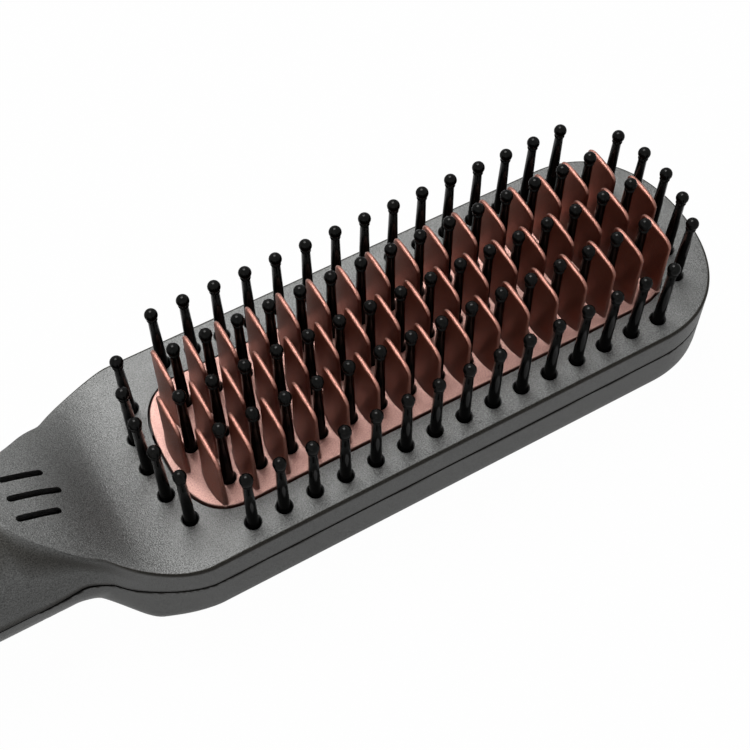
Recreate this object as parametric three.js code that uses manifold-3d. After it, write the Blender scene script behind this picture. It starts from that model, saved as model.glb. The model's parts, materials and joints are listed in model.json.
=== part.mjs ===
// Heated styling brush: a flat head with a finned heating plate and ball-tipped
// bristles, on a round handle with its controls and a swivelling cord gland.
// Millimetres, +Z up, bristles up, +X towards the tip of the head.
// The origin is the centre of the flat back, under the middle of the bristle field.

import * as THREE from 'three';
import { mergeVertices } from 'three/addons/utils/BufferGeometryUtils.js';
import Module from 'manifold-3d';

const wasm = await Module();
wasm.setup();

// Clearances and facets
const FIT = 0.3; // gap between pieces that touch
const TOOL_REACH = 10; // how far a cutting tool runs past what it cuts
const HOLE_SIDES = 8;
const PLATE_HOLE_SIDES = 6;
const PIN_SIDES = 6;

// Bristle field
const PITCH = 6.5; // bristle spacing along a row
const ROW_GAP = 9.4; // between the three rows on the plate
const SIDE_ROW_PINS = 15;
const BALL_R = 1.3;
const STEM_TOP_R = 0.88;
const STEM_BASE_R = 1.17;
const PIN_HOLE_R = 1.6;
const INNER_PIN_HEIGHT = 20.7; // above the head's flat top
const OUTER_PIN_HEIGHT = 18.5;
const PIN_STRIP_WIDTH = 3.8;
const COMB_THICK = 2; // under the plate
const STRIP_THICK = 1.8; // under the housing

// Heating plate and its fins
const PLATE_PROUD = 1.1;
const PLATE_EDGE_ROUND = 0.5;
const PLATE_SIDE_MARGIN = 6.6; // beyond the side rows
const PLATE_END_MARGIN = 1.8; // beyond the last fin of the middle row
const PLATE_END_BOW = 11.8; // length of the bowed end
const PLATE_SQUARENESS = 2.8;
const FIN_HEIGHT = 15.6; // above the head's flat top
const FIN_SHOULDER = 13.7;
const FIN_FOOT_REACH = 5.2; // half width at the plate
const FIN_SHOULDER_REACH = 4.3;
const FIN_TOP_REACH = 3.3;
const FIN_FOOT_HALF = 1.3; // half thickness at the plate
const FIN_SHOULDER_HALF = 0.85;
const FIN_TOP_HALF = 0.4;

// Head
const HEAD_DEPTH = 19.8;
const TOP_WALL = 1.8;
const WALL = 2;
const OUTER_ROW_OFFSET = 3.6; // from the plate's edge to the outer rows
const HEAD_SIDE_MARGIN = 4.75; // from the outer rows to the edge
const END_ARC_OFFSET = 3.9; // from the plate's end to the end arcs
const END_ARC_PINS = 5;
const TIP_ARC_R = 30;
const TIP_ARC_PITCH = 6.5;
const NECK_ARC_R = 38;
const NECK_ARC_PITCH = 6.8;
const TIP_MARGIN = 7.95; // from the end arc to the tip
const TIP_BOW = 21.45;
const TIP_SQUARENESS = 2.2;
const TOP_EDGE_R = 0.6;
const BACK_EDGE_R = 4.6;
const SIDE_DRAFT = 0.35;
const PARTING_DEPTH = 7.15; // parting line below the flat top
const PARTING_RISE_START = 14.3; // back from the neck's start
const PARTING_RISE_LENGTH = 8.5;

// Neck and handle
const NECK_OFFSET = 1.6; // from the plate's end to where the head starts to narrow
const NECK_LENGTH = 17.1;
const NECK_CURVE = 1.65; // power of the curve that draws the head in
const NECK_SOFTNESS = 0.05;
const ROUNDING_START = 11.2; // back from the neck's start, where the section begins to turn round
const ROUNDING_LENGTH = 13.9;
const BACK_OVERHANG = 5.7; // how far the back reaches past the parting line at the neck
const RAMP_OFFSET = 7.4; // from the neck's bristle arc to where the ramp's line meets the flat top
const RAMP_SLOPE = 0.65;
const RAMP_BLEND = 6.7; // half length of the ramp's rounded foot
const HANDLE_R = 16;
const HANDLE_DROP = 2; // handle axis below the head's flat top
const HANDLE_LENGTH = 132.5;
const NECK_STEPS = 11; // sections between the top of the ramp and the neck's start

// Vent slots on the ramp
const SLOT_WIDTH = 1.1;
const SLOT_GAP = 4.3;
const SLOT_END = 74.2; // head-side end of the middle slot, back from the origin
const SLOT_LENGTH = 9;
const SLOT_STAGGER = 1.6;

// Under the plate
const CARRIER_LIP = 1.2; // beyond the plate's edge
const CARRIER_DEPTH = 3.1;
const HEATER_WIDTH = 4;
const HEATER_THICK = 1;
const HEATER_START = 10; // from the neck end of the channel
const MICA_THICK = 0.4;
const CHANNEL_NOTCH = 3; // where the leads come up into a channel
const SENSOR_R = 0.85;
const SENSOR_LENGTH = 5;
const LEAD_R = 0.6;
const LEAD_DROP = 3; // below the carrier
const LEAD_RISE = 14; // from where a lead comes up to the power board's edge

// Screws
const SCREW_SPACING_X = 105; // the plate carrier's
const SCREW_SPACING_Y = 34.4;
const SCREW_R = 0.9;
const SCREW_BORE_R = 1.2;
const SCREW_HEAD_R = 1.9;
const SCREW_HEAD_THICK = 1.3;
const SCREW_BOSS_R = 2.4;
const SCREW_ARM = 5; // from a screw in to the carrier
const POST_R = 2.2;
const POST_BITE = 4; // of a board screw in its post
const PILLAR_R = 3.4;
const COLUMN_R = 4.2;
const LONG_SCREW_R = 1.2;
const LONG_BORE_R = 1.5;
const LONG_HEAD_R = 2.6;
const LONG_HEAD_THICK = 2;
const LONG_HEAD_SUNK = 5;
const LONG_SCREW_BITE = 7; // above the handle's axis
const SCREW_FROM_NECK = 21;
const SCREW_FROM_END = 22;

// Controls
const BUTTON_PITCH = 15;
const FIRST_BUTTON = 45; // back from the neck's end
const BUTTON_R = 4.5;
const POWER_BUTTON_R = 5.5;
const BUTTON_PROUD = 0.3;
const BUTTON_TRAVEL = 0.6;
const BUTTON_LIP = 0.8;
const BUTTON_LIP_THICK = 1;
const BUTTON_EDGE = 0.6;
const LENS_R = 1.6;
const LENS_PROUD = 0.1;
const BOARD_THICK = 1.6;
const BOARD_HALF_WIDTH = 10;
const BOARD_START = 31; // back from the neck's end
const BOARD_CLEAR = 5.3; // from the boards to the rear screw's column
const BOARD_RISE = 5; // board's top above the handle axis
const SWITCH_SIZE = 6;
const SWITCH_HEIGHT = 3.5;
const PLUNGER_R = 1.7;
const PLUNGER_HEIGHT = 0.7;
const POWER_BOARD_DROP = 6; // board's underside below the handle axis
const RIB_INSET = 5; // from the power board's ends
const RIB_THICK = 2;
const ION_BOX = { start: 6, length: 24, width: 14, height: 6 }; // start: back from the board's end
const CAPACITOR = { start: 38, side: -3, r: 3.4, height: 5.6 };
const TRIAC = { start: 47.5, width: 10, tab: 1.5, tabHeight: 6.4, thick: 3.5, height: 4.2 };
const EMITTER_THICK = 3;
const EMITTER_MARGIN = 1; // beyond the slots

// Swivelling cord gland
const CAP_LENGTH = 9;
const CAP_END_R = 11.5;
const CAP_RIM = { length: 1.5, rise: 2.2 }; // bevel at the cap's end
const CAP_SHOULDER = { length: 4.5, drop: 0.6 }; // where the cap's side starts to fall to the bevel
const GLAND_R = 7;
const GLAND_COLLAR_R = 8.5;
const GLAND_FLANGE_R = 10;
const GLAND_REACH = 8; // beyond the end cap
const GLAND_BORE_R = 4;
const GLAND_BEVEL = 1;
const FLANGE_THICK = 1.7;
const BEARING_THICK = 4;
const SPIGOT_WALL = 1.2;
const GLAND_TAIL = 0.8; // past the bearing
const RING_THICK = 0.8;
const RING_WIDTH = 1;
const INNER_RING_R = 4.2;
const OUTER_RING_R = 5.8;
const CONTACT_PIN_LENGTH = 1;
const CONTACT_PIN_R = 0.4;
const CONTACT_PLATE_THICK = 1.5;

// Places that follow from the sizes
const top = HEAD_DEPTH;
const axisZ = top - HANDLE_DROP;
const sideRowReach = ((SIDE_ROW_PINS - 1) / 2) * PITCH;
const middleRowReach = sideRowReach + PITCH / 2;
const plateHalfLength = middleRowReach + PITCH / 2 + PLATE_END_MARGIN;
const plateHalfWidth = ROW_GAP + PLATE_SIDE_MARGIN;
const outerRowY = plateHalfWidth + OUTER_ROW_OFFSET;
const headHalfWidth = outerRowY + HEAD_SIDE_MARGIN;
const endArcX = plateHalfLength + END_ARC_OFFSET;
const tipX = endArcX + TIP_MARGIN;
const tipBowX = tipX - TIP_BOW;
const neckStartX = -plateHalfLength - NECK_OFFSET;
const neckEndX = neckStartX - NECK_LENGTH;
const rampFootX = -endArcX - RAMP_OFFSET;
const handleEndX = neckEndX - HANDLE_LENGTH;
const handleInnerR = HANDLE_R - WALL;
const housingScrewXs = [neckEndX - SCREW_FROM_NECK, handleEndX + SCREW_FROM_END];
const plateBase = top - TOP_WALL;
const carrierTop = plateBase - FIT;
const carrierBase = carrierTop - CARRIER_DEPTH;
const laneY = ROW_GAP / 2;

// Small solids

function solid(geometry) {
  geometry.deleteAttribute('normal');
  geometry.deleteAttribute('uv');
  const merged = mergeVertices(geometry, 1e-4);
  const points = merged.attributes.position.array;
  const index = merged.index.array;
  const kept = [];
  for (let i = 0; i < index.length; i += 3) {
    const corners = [...index.slice(i, i + 3)];
    if (new Set(corners).size === 3) kept.push(...corners);
  }
  const corner = [0, 1, 2].map(() => new THREE.Vector3());
  let volume = 0;
  for (let i = 0; i < kept.length; i += 3) {
    corner.forEach((v, k) => v.fromArray(points, kept[i + k] * 3));
    volume += corner[0].dot(corner[1].cross(corner[2]));
  }
  if (volume < 0) kept.reverse();
  const vertProperties = Float32Array.from(points);
  const triVerts = Uint32Array.from(kept);
  return new wasm.Manifold(new wasm.Mesh({ numProp: 3, vertProperties, triVerts }));
}

function join(...parts) {
  return parts.flat().reduce((whole, part) => whole.add(part));
}

function cut(whole, ...tools) {
  return tools.flat().reduce((rest, tool) => rest.subtract(tool), whole);
}

function box(x0, x1, y0, y1, z0, z1) {
  const shape = new THREE.BoxGeometry(x1 - x0, y1 - y0, z1 - z0);
  return solid(shape.translate((x0 + x1) / 2, (y0 + y1) / 2, (z0 + z1) / 2));
}

// A turned solid that stands along Z at x, y; the profile is [radius, height] pairs.
function turnedZ(profile, x, y, sides) {
  const points = profile.map(([r, z]) => new THREE.Vector2(r, z));
  const shape = new THREE.LatheGeometry(points, sides, Math.PI / sides);
  return solid(shape.rotateX(Math.PI / 2).translate(x, y, 0));
}

function rod(r, x, y, z0, z1, sides = HOLE_SIDES) {
  return turnedZ([[0, z0], [r, z0], [r, z1], [0, z1]], x, y, sides);
}

// A turned solid along X on the handle's axis; the profile is [x, radius] pairs.
function turnedX(profile, sides = 16) {
  const points = profile.map(([x, r]) => new THREE.Vector2(r, x));
  const shape = new THREE.LatheGeometry(points, sides);
  return solid(shape.rotateZ(-Math.PI / 2).translate(0, 0, axisZ));
}

function ringAroundAxis(x0, x1, innerR, outerR, sides = 16) {
  return turnedX([[x0, innerR], [x1, innerR], [x1, outerR], [x0, outerR], [x0, innerR]], sides);
}

function prism(points, z0, z1) {
  const shape = new THREE.Shape(points.map(([x, y]) => new THREE.Vector2(x, y)));
  const body = new THREE.ExtrudeGeometry(shape, { depth: z1 - z0, bevelEnabled: false });
  return solid(body.translate(0, 0, z0));
}

// A prism whose outline lies in the XZ plane.
function sidePrism(points, y0, y1) {
  const shape = new THREE.Shape(points.map(([x, z]) => new THREE.Vector2(x, z)));
  const body = new THREE.ExtrudeGeometry(shape, { depth: y1 - y0, bevelEnabled: false });
  return solid(body.rotateX(Math.PI / 2).translate(0, y1, 0));
}

function stadium(x0, y0, x1, y1, r, steps = 3) {
  const along = Math.atan2(y1 - y0, x1 - x0);
  const points = [];
  for (const [cx, cy, from] of [[x1, y1, along - Math.PI / 2], [x0, y0, along + Math.PI / 2]]) {
    for (let i = 0; i <= steps; i++) {
      const a = from + (Math.PI * i) / steps;
      points.push([cx + r * Math.cos(a), cy + r * Math.sin(a)]);
    }
  }
  return points;
}

// A closed body through rings with the same number of points, capped at both ends.
function ringStack(rings) {
  const count = rings[0].length;
  const index = [];
  for (let i = 0; i + 1 < rings.length; i++) {
    for (let k = 0; k < count; k++) {
      const a = i * count + k;
      const b = i * count + ((k + 1) % count);
      index.push(a, b, b + count, a, b + count, a + count);
    }
  }
  const last = (rings.length - 1) * count;
  for (let k = 1; k + 1 < count; k++) {
    index.push(0, k + 1, k, last, last + k, last + k + 1);
  }
  const geometry = new THREE.BufferGeometry();
  geometry.setAttribute('position', new THREE.Float32BufferAttribute(rings.flat(2), 3));
  geometry.setIndex(index);
  return solid(geometry);
}

// A round lead along a smooth curve through the points.
function lead(points, r = LEAD_R) {
  const path = new THREE.CatmullRomCurve3(points.map((p) => new THREE.Vector3(...p)));
  const section = new THREE.Shape();
  for (let i = 0; i < 6; i++) {
    const a = (i * Math.PI) / 3;
    if (i === 0) section.moveTo(r, 0);
    else section.lineTo(r * Math.cos(a), r * Math.sin(a));
  }
  const options = { steps: 2 * (points.length - 1), extrudePath: path, bevelEnabled: false };
  return solid(new THREE.ExtrudeGeometry(section, options));
}

// The housing's outer form

// Greater of two values, with a soft change from one to the other.
function softMax(a, b, soft) {
  return (a + b + Math.sqrt((a - b) ** 2 + soft ** 2)) / 2;
}

function smooth(t) {
  const s = Math.min(Math.max(t, 0), 1);
  return s * s * (3 - 2 * s);
}

// Height of the flat top, which runs up the ramp to the handle. The ramp's foot is a parabola.
function topZ(x) {
  const rounded = Math.min(Math.max(rampFootX + RAMP_BLEND - x, 0), 2 * RAMP_BLEND);
  const straight = Math.max(rampFootX - RAMP_BLEND - x, 0);
  return top + RAMP_SLOPE * (rounded ** 2 / (4 * RAMP_BLEND) + straight);
}

// The head's half width, drawn in to the handle along a curve.
function halfWidth(x, overhang) {
  const t = Math.min((x - neckEndX + overhang) / (NECK_LENGTH + overhang), 1);
  const share = t > -1 ? softMax(1 - (1 - t) ** NECK_CURVE, 0, NECK_SOFTNESS) : 0;
  return HANDLE_R + (headHalfWidth - HANDLE_R) * Math.min(share, 1);
}

// Point at angle a on a bowed end, from its side (a = 0) to its tip (a = 90 degrees).
function bowedEnd(a, length, width, squareness) {
  const power = 2 / squareness;
  return [length * Math.sin(a) ** power, width * Math.cos(a) ** power];
}

// How far the section has turned from the head's to the handle's round one.
function roundness(x) {
  return smooth((neckStartX - ROUNDING_START - x) / ROUNDING_LENGTH);
}

function bodyStations() {
  const rampTopX = rampFootX - (HANDLE_R - HANDLE_DROP) / RAMP_SLOPE;
  const stations = [handleEndX, (handleEndX + rampTopX) / 2, rampTopX - 8].map((x) => ({ x }));
  for (let i = 0; i <= NECK_STEPS; i++) {
    stations.push({ x: rampTopX + ((neckStartX - rampTopX) * i) / NECK_STEPS });
  }
  stations.push({ x: 0 });
  for (let i = 0; i <= 8; i++) stations.push({ x: tipBowX, bow: (i * Math.PI) / 16 });
  return stations;
}

// Outline of the head or handle at a station, drawn in by an inset.
function outlineAt(station, inset, overhang = 0) {
  if (station.bow === undefined) {
    return [station.x, halfWidth(station.x + inset / 2, overhang) - inset];
  }
  const width = headHalfWidth - inset;
  const [dx, y] = bowedEnd(station.bow, TIP_BOW - inset, width, TIP_SQUARENESS);
  return [station.x + dx, station.bow > 1.57 ? 0 : y];
}

// Points down one side of the head's section: drop is from the flat top, tuck is from the
// outline, and turn is the share of the handle's half circle that the same point takes.
function headLevels(inset, depth) {
  const levels = [];
  const topR = Math.max(TOP_EDGE_R - inset, 0.2);
  const backR = BACK_EDGE_R - inset;
  for (let i = 0; i <= 1; i++) {
    const a = (i * Math.PI) / 2;
    levels.push({ drop: topR * (1 - Math.cos(a)), tuck: topR * (1 - Math.sin(a)), turn: 0 });
  }
  for (let i = 1; i <= 3; i++) {
    const share = i / 4;
    const drop = topR + share * (depth - topR - backR);
    levels.push({ drop, tuck: -share * SIDE_DRAFT, turn: share * 0.5 });
  }
  for (let i = 0; i <= 4; i++) {
    const a = (i * Math.PI) / 8;
    const drop = depth - backR + backR * Math.sin(a);
    levels.push({ drop, tuck: backR * (1 - Math.cos(a)) - SIDE_DRAFT, turn: 0.5 + i / 10 });
  }
  return levels;
}

// Half ring of a station, from the middle of the top to the middle of the back.
function halfRing(station, inset, topInset) {
  const spineX = outlineAt(station, inset)[0];
  const roundR = HANDLE_R - inset;
  const blend = roundness(spineX);
  const z = topZ(spineX) - topInset;
  const crease = Math.acos(Math.min((z - axisZ) / roundR, 1));
  const depth = top - topInset - inset;
  const backZ = inset + blend * (axisZ - roundR - inset);
  const middleX = Math.min(spineX, tipBowX);
  const points = [[middleX, 0, Math.min(z, axisZ + roundR)]];
  for (const { drop, tuck, turn } of headLevels(inset, depth)) {
    const overhang = BACK_OVERHANG * smooth(turn / 0.6 - 0.4);
    const [x, y] = outlineAt(station, inset + tuck * (1 - blend), overhang);
    const angle = crease + (Math.PI - crease) * turn;
    const headZ = z - drop * ((z - inset) / depth);
    const roundY = y * Math.sin(angle);
    const roundZ = Math.min(axisZ + roundR * Math.cos(angle), z);
    points.push([x, y + (roundY - y) * blend, headZ + (roundZ - headZ) * blend]);
  }
  points.push([middleX, 0, backZ]);
  return points;
}

function body(inset, topInset, extraEnd = 0) {
  const rings = bodyStations().map((station) => {
    const half = halfRing(station, inset, topInset);
    const mirrored = half.slice(1, -1).reverse().map(([x, y, z]) => [x, -y, z]);
    return [...half, ...mirrored];
  });
  rings[0] = rings[0].map(([x, y, z]) => [x - extraEnd, y, z]);
  return ringStack(rings);
}

// Height of the line where the two shells meet.
function partingZ(x) {
  const low = top - PARTING_DEPTH;
  return low + (axisZ - low) * smooth((neckStartX - PARTING_RISE_START - x) / PARTING_RISE_LENGTH);
}

// Everything on one side of the parting line, half a clearance away from it.
function partingTool(side) {
  const far = side > 0 ? axisZ + HANDLE_R + TOOL_REACH : -TOOL_REACH;
  const x0 = handleEndX - TOOL_REACH;
  const x1 = tipX + TOOL_REACH;
  const edge = (x) => [x, partingZ(x) + (side * FIT) / 2];
  const points = [[x1, far], [x0, far], edge(x0)];
  for (let i = 0; i <= 12; i++) {
    points.push(edge(neckStartX - PARTING_RISE_START - PARTING_RISE_LENGTH * (1 - i / 12)));
  }
  points.push(edge(x1));
  return sidePrism(points, -headHalfWidth - TOOL_REACH, headHalfWidth + TOOL_REACH);
}

// Bristles

function pin(x, y, z0, height) {
  const ballZ = top + height - BALL_R;
  const low = BALL_R * 0.62;
  return turnedZ([
    [0, z0], [STEM_BASE_R, z0], [STEM_TOP_R, ballZ - BALL_R * 0.8],
    [BALL_R, ballZ - low * 0.3], [BALL_R * 0.72, ballZ + low * 1.1], [0, ballZ + BALL_R],
  ], x, y, PIN_SIDES);
}

function rowPlaces(count, y) {
  return Array.from({ length: count }, (_, i) => [(i - (count - 1) / 2) * PITCH, y]);
}

function arcPlaces({ side, r, pitch }) {
  const places = [];
  for (let i = 0; i < END_ARC_PINS; i++) {
    const a = ((i - (END_ARC_PINS - 1) / 2) * pitch) / r;
    places.push([side * (endArcX - r + r * Math.cos(a)), r * Math.sin(a)]);
  }
  return places;
}

const innerRows = {
  near: rowPlaces(SIDE_ROW_PINS, -ROW_GAP),
  middle: rowPlaces(SIDE_ROW_PINS + 1, 0),
  far: rowPlaces(SIDE_ROW_PINS, ROW_GAP),
};
const outerRows = {
  near: rowPlaces(SIDE_ROW_PINS, -outerRowY),
  far: rowPlaces(SIDE_ROW_PINS, outerRowY),
};
const endArcs = {
  tip: { side: 1, r: TIP_ARC_R, pitch: TIP_ARC_PITCH },
  neck: { side: -1, r: NECK_ARC_R, pitch: NECK_ARC_PITCH },
};

function straightComb(places, stripTop, thick, height) {
  const [x0, y] = places[0];
  const x1 = places[places.length - 1][0];
  const half = PIN_STRIP_WIDTH / 2;
  const strip = box(x0 - half, x1 + half, y - half, y + half, stripTop - thick, stripTop);
  return join(strip, places.map(([x]) => pin(x, y, stripTop - thick / 2, height)));
}

function arcComb(arc, stripTop, thick, height) {
  const half = PIN_STRIP_WIDTH / 2;
  const centre = endArcX - arc.r;
  const reach = (((END_ARC_PINS - 1) / 2) * arc.pitch + half) / arc.r;
  const outline = [];
  for (const [r, turn] of [[arc.r + half, 1], [arc.r - half, -1]]) {
    for (let i = -4; i <= 4; i++) {
      const a = (turn * i * reach) / 4;
      outline.push([arc.side * (centre + r * Math.cos(a)), r * Math.sin(a)]);
    }
  }
  const strip = prism(outline, stripTop - thick, stripTop);
  return join(strip, arcPlaces(arc).map(([x, y]) => pin(x, y, stripTop - thick / 2, height)));
}

// Heating plate

function plateOutline(grow) {
  const points = [];
  const straight = plateHalfLength - PLATE_END_BOW;
  for (const [sx, sy, order] of [[1, 1, 1], [1, -1, -1], [-1, -1, 1], [-1, 1, -1]]) {
    for (let i = 0; i <= 6; i++) {
      const a = ((order > 0 ? i : 6 - i) * Math.PI) / 12;
      const [dx, y] = bowedEnd(a, PLATE_END_BOW + grow, plateHalfWidth + grow, PLATE_SQUARENESS);
      if (order > 0 || i > 0) points.push([sx * (straight + dx), sy * (a > 1.57 ? 0 : y)]);
    }
  }
  return points.filter(([x, y], i) => i === 0 || x !== points[i - 1][0] || y !== points[i - 1][1]);
}

function finRing(x, y, z, reach, half) {
  const shares = [[1, 0], [0.5, 0.9], [-0.5, 0.9]];
  const side = shares.map(([a, b]) => [x + b * half, y + a * reach, z]);
  return [...side, ...shares.map(([a, b]) => [x - b * half, y - a * reach, z])];
}

function fin(x, y) {
  return ringStack([
    finRing(x, y, plateBase + 1, FIN_FOOT_REACH, FIN_FOOT_HALF),
    finRing(x, y, top + FIN_SHOULDER, FIN_SHOULDER_REACH, FIN_SHOULDER_HALF),
    finRing(x, y, top + FIN_HEIGHT, FIN_TOP_REACH, FIN_TOP_HALF),
  ]);
}

function heatingPlate() {
  const face = top + PLATE_PROUD;
  const slab = ringStack([
    plateOutline(0).map(([x, y]) => [x, y, plateBase]),
    plateOutline(0).map(([x, y]) => [x, y, face - PLATE_EDGE_ROUND]),
    plateOutline(-PLATE_EDGE_ROUND).map(([x, y]) => [x, y, face]),
  ]);
  const pins = Object.values(innerRows).flat();
  const hole = ([x, y]) => rod(PIN_HOLE_R, x, y, plateBase - 1, face + 1, PLATE_HOLE_SIDES);
  const places = [
    ...rowPlaces(SIDE_ROW_PINS + 1, -ROW_GAP),
    ...rowPlaces(SIDE_ROW_PINS + 2, 0),
    ...rowPlaces(SIDE_ROW_PINS + 1, ROW_GAP),
  ];
  return cut(join(slab, places.map(([x, y]) => fin(x, y))), pins.map(hole));
}

// Carrier under the plate, with channels for the heaters and slots for the bristles

const channelHalf = HEATER_WIDTH / 2 + FIT;
const channelNeckX = -middleRowReach;
const channelTipX = middleRowReach;
const channelFloor = carrierTop - HEATER_THICK - 2 * FIT - MICA_THICK;
const heaterNeckX = channelNeckX + HEATER_START;
const bossPlaces = [[1, -1], [1, 1], [-1, -1], [-1, 1]].map(([a, b]) => [
  (a * SCREW_SPACING_X) / 2, (b * SCREW_SPACING_Y) / 2,
]);
const tabTop = carrierTop - STRIP_THICK - FIT;

function plateCarrier() {
  let carrier = prism(plateOutline(CARRIER_LIP), carrierBase, carrierTop);
  for (const [x, y] of bossPlaces) {
    const inX = x - Math.sign(x) * SCREW_ARM;
    const inY = y - Math.sign(y) * SCREW_ARM;
    const arm = stadium(inX, inY, x, y, SCREW_BOSS_R);
    carrier = join(carrier, prism(arm, carrierBase, tabTop));
  }
  const slotHalf = PIN_HOLE_R + FIT / 2;
  for (const y of [-ROW_GAP, 0, ROW_GAP]) {
    const reach = (y === 0 ? middleRowReach : sideRowReach) + slotHalf;
    carrier = cut(carrier, box(-reach, reach, y - slotHalf, y + slotHalf, carrierBase - 1, top));
  }
  for (const y of [-laneY, laneY]) {
    const [y0, y1] = [y - channelHalf, y + channelHalf];
    const channel = box(channelNeckX, channelTipX, y0, y1, channelFloor, top);
    const notchX1 = channelNeckX + CHANNEL_NOTCH;
    const notch = box(-plateHalfLength - NECK_LENGTH, notchX1, y0, y1, carrierBase - 1, top);
    carrier = cut(carrier, channel, notch);
  }
  const bores = bossPlaces.map(([x, y]) => rod(SCREW_BORE_R, x, y, carrierBase - 1, top));
  const rooms = bossPlaces.map(([x, y]) => rod(SCREW_BOSS_R + FIT, x, y, tabTop, top));
  return cut(carrier, bores, rooms);
}

function carrierScrew([x, y]) {
  const seat = carrierBase - FIT;
  return turnedZ([
    [0, seat - SCREW_HEAD_THICK], [SCREW_HEAD_R, seat - SCREW_HEAD_THICK], [SCREW_HEAD_R, seat],
    [SCREW_R, seat], [SCREW_R, plateBase - 2 * FIT], [0, plateBase - 2 * FIT],
  ], x, y, HOLE_SIDES);
}

function heater(side) {
  const [y0, y1] = [side * laneY - HEATER_WIDTH / 2, side * laneY + HEATER_WIDTH / 2];
  return box(heaterNeckX, channelTipX - FIT, y0, y1, carrierTop - HEATER_THICK, carrierTop);
}

function micaSheet(side) {
  const [y0, y1] = [side * laneY - HEATER_WIDTH / 2, side * laneY + HEATER_WIDTH / 2];
  const sheetTop = channelFloor + FIT + MICA_THICK;
  return box(heaterNeckX, channelTipX - FIT, y0, y1, sheetTop - MICA_THICK, sheetTop);
}

// Temperature sensor and thermal fuse, which lie along X in front of the heaters

const sensorZ = carrierTop - SENSOR_R;
const sensorOffset = channelHalf - SENSOR_R - FIT;

function sensor(side) {
  const y = side * (laneY + sensorOffset);
  const x1 = heaterNeckX - FIT;
  const profile = [
    [0, x1 - SENSOR_LENGTH], [SENSOR_R, x1 - SENSOR_LENGTH + 0.5], [SENSOR_R, x1 - 0.5], [0, x1],
  ];
  const shape = new THREE.LatheGeometry(profile.map(([r, x]) => new THREE.Vector2(r, x)), 8);
  return solid(shape.rotateZ(-Math.PI / 2).translate(0, y, sensorZ));
}

// Controls on the handle

const boardTop = axisZ + BOARD_RISE;
const boardX1 = neckEndX - BOARD_START;
const boardX0 = housingScrewXs[1] + COLUMN_R + BOARD_CLEAR;
const switchTop = boardTop + FIT + SWITCH_HEIGHT + PLUNGER_HEIGHT;
const buttonBase = switchTop + BUTTON_TRAVEL + FIT / 2;
const buttonX = (i) => neckEndX - FIRST_BUTTON - i * BUTTON_PITCH;
const buttons = [
  { name: 'heat_up', x: buttonX(0), r: BUTTON_R },
  { name: 'heat_down', x: buttonX(1), r: BUTTON_R },
  { name: 'power', x: buttonX(2), r: POWER_BUTTON_R },
];
const lensX = buttonX(0) - BUTTON_PITCH / 2;
const boardPosts = [[boardX1 - 4, -6.5], [boardX0 + 4, 6.5]];

function button({ x, r }) {
  const face = axisZ + HANDLE_R + BUTTON_PROUD;
  return turnedZ([
    [0, buttonBase], [r + BUTTON_LIP, buttonBase], [r + BUTTON_LIP, buttonBase + BUTTON_LIP_THICK],
    [r, buttonBase + BUTTON_LIP_THICK], [r, face - BUTTON_EDGE], [r - BUTTON_EDGE, face], [0, face],
  ], x, 0, 16);
}

function tactSwitch({ x }) {
  const half = SWITCH_SIZE / 2;
  const base = boardTop + FIT;
  const block = box(x - half, x + half, -half, half, base, base + SWITCH_HEIGHT);
  return join(block, rod(PLUNGER_R, x, 0, base + SWITCH_HEIGHT / 2, switchTop));
}

function controlBoard() {
  const [y0, y1] = [-BOARD_HALF_WIDTH, BOARD_HALF_WIDTH];
  const board = box(boardX0, boardX1, y0, y1, boardTop - BOARD_THICK, boardTop);
  return cut(board, boardPosts.map(([x, y]) => rod(SCREW_BORE_R, x, y, axisZ, boardTop + 1)));
}

function boardScrew([x, y]) {
  const seat = boardTop - BOARD_THICK - FIT;
  return turnedZ([
    [0, seat - SCREW_HEAD_THICK], [SCREW_HEAD_R, seat - SCREW_HEAD_THICK], [SCREW_HEAD_R, seat],
    [SCREW_R, seat], [SCREW_R, boardTop + POST_BITE], [0, boardTop + POST_BITE],
  ], x, y, HOLE_SIDES);
}

function lens() {
  const face = axisZ + HANDLE_R + LENS_PROUD;
  const base = boardTop + FIT;
  const edge = LENS_R / 4;
  return turnedZ([
    [0, base], [LENS_R, base], [LENS_R, face - edge], [LENS_R - edge, face], [0, face],
  ], lensX, 0, 12);
}

// Power board and what stands on it

const powerBoardTop = axisZ - POWER_BOARD_DROP + BOARD_THICK;
const powerX1 = boardX1;
const powerX0 = boardX0;
const partsBase = powerBoardTop + FIT;
const ribXs = [powerX1 - RIB_INSET, powerX0 + RIB_INSET];
const ionBoxX1 = powerX1 - ION_BOX.start;

function powerBoard() {
  const [y0, y1] = [-BOARD_HALF_WIDTH, BOARD_HALF_WIDTH];
  return box(powerX0, powerX1, y0, y1, powerBoardTop - BOARD_THICK, powerBoardTop);
}

function ionGenerator() {
  const half = ION_BOX.width / 2;
  return box(ionBoxX1 - ION_BOX.length, ionBoxX1, -half, half, partsBase, partsBase + ION_BOX.height);
}

function capacitor() {
  const { start, side, r, height } = CAPACITOR;
  return rod(r, powerX1 - start, side, partsBase, partsBase + height, 12);
}

// A flat tab with the moulded body on its face.
function triac() {
  const { start, width, tab, tabHeight, thick, height } = TRIAC;
  const x0 = powerX1 - start - tab - thick;
  const half = width / 2;
  const plate = box(x0, x0 + tab, -half, half, partsBase, partsBase + tabHeight);
  const block = box(x0 + tab / 2, x0 + tab + thick, -half, half, partsBase, partsBase + height);
  return join(plate, block);
}

// Ion emitter behind the vent slots

const emitterX0 = -SLOT_END - SLOT_LENGTH - EMITTER_MARGIN;
const emitterX1 = -SLOT_END + EMITTER_MARGIN;
const emitterDrop = TOP_WALL + 2 * FIT;

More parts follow.
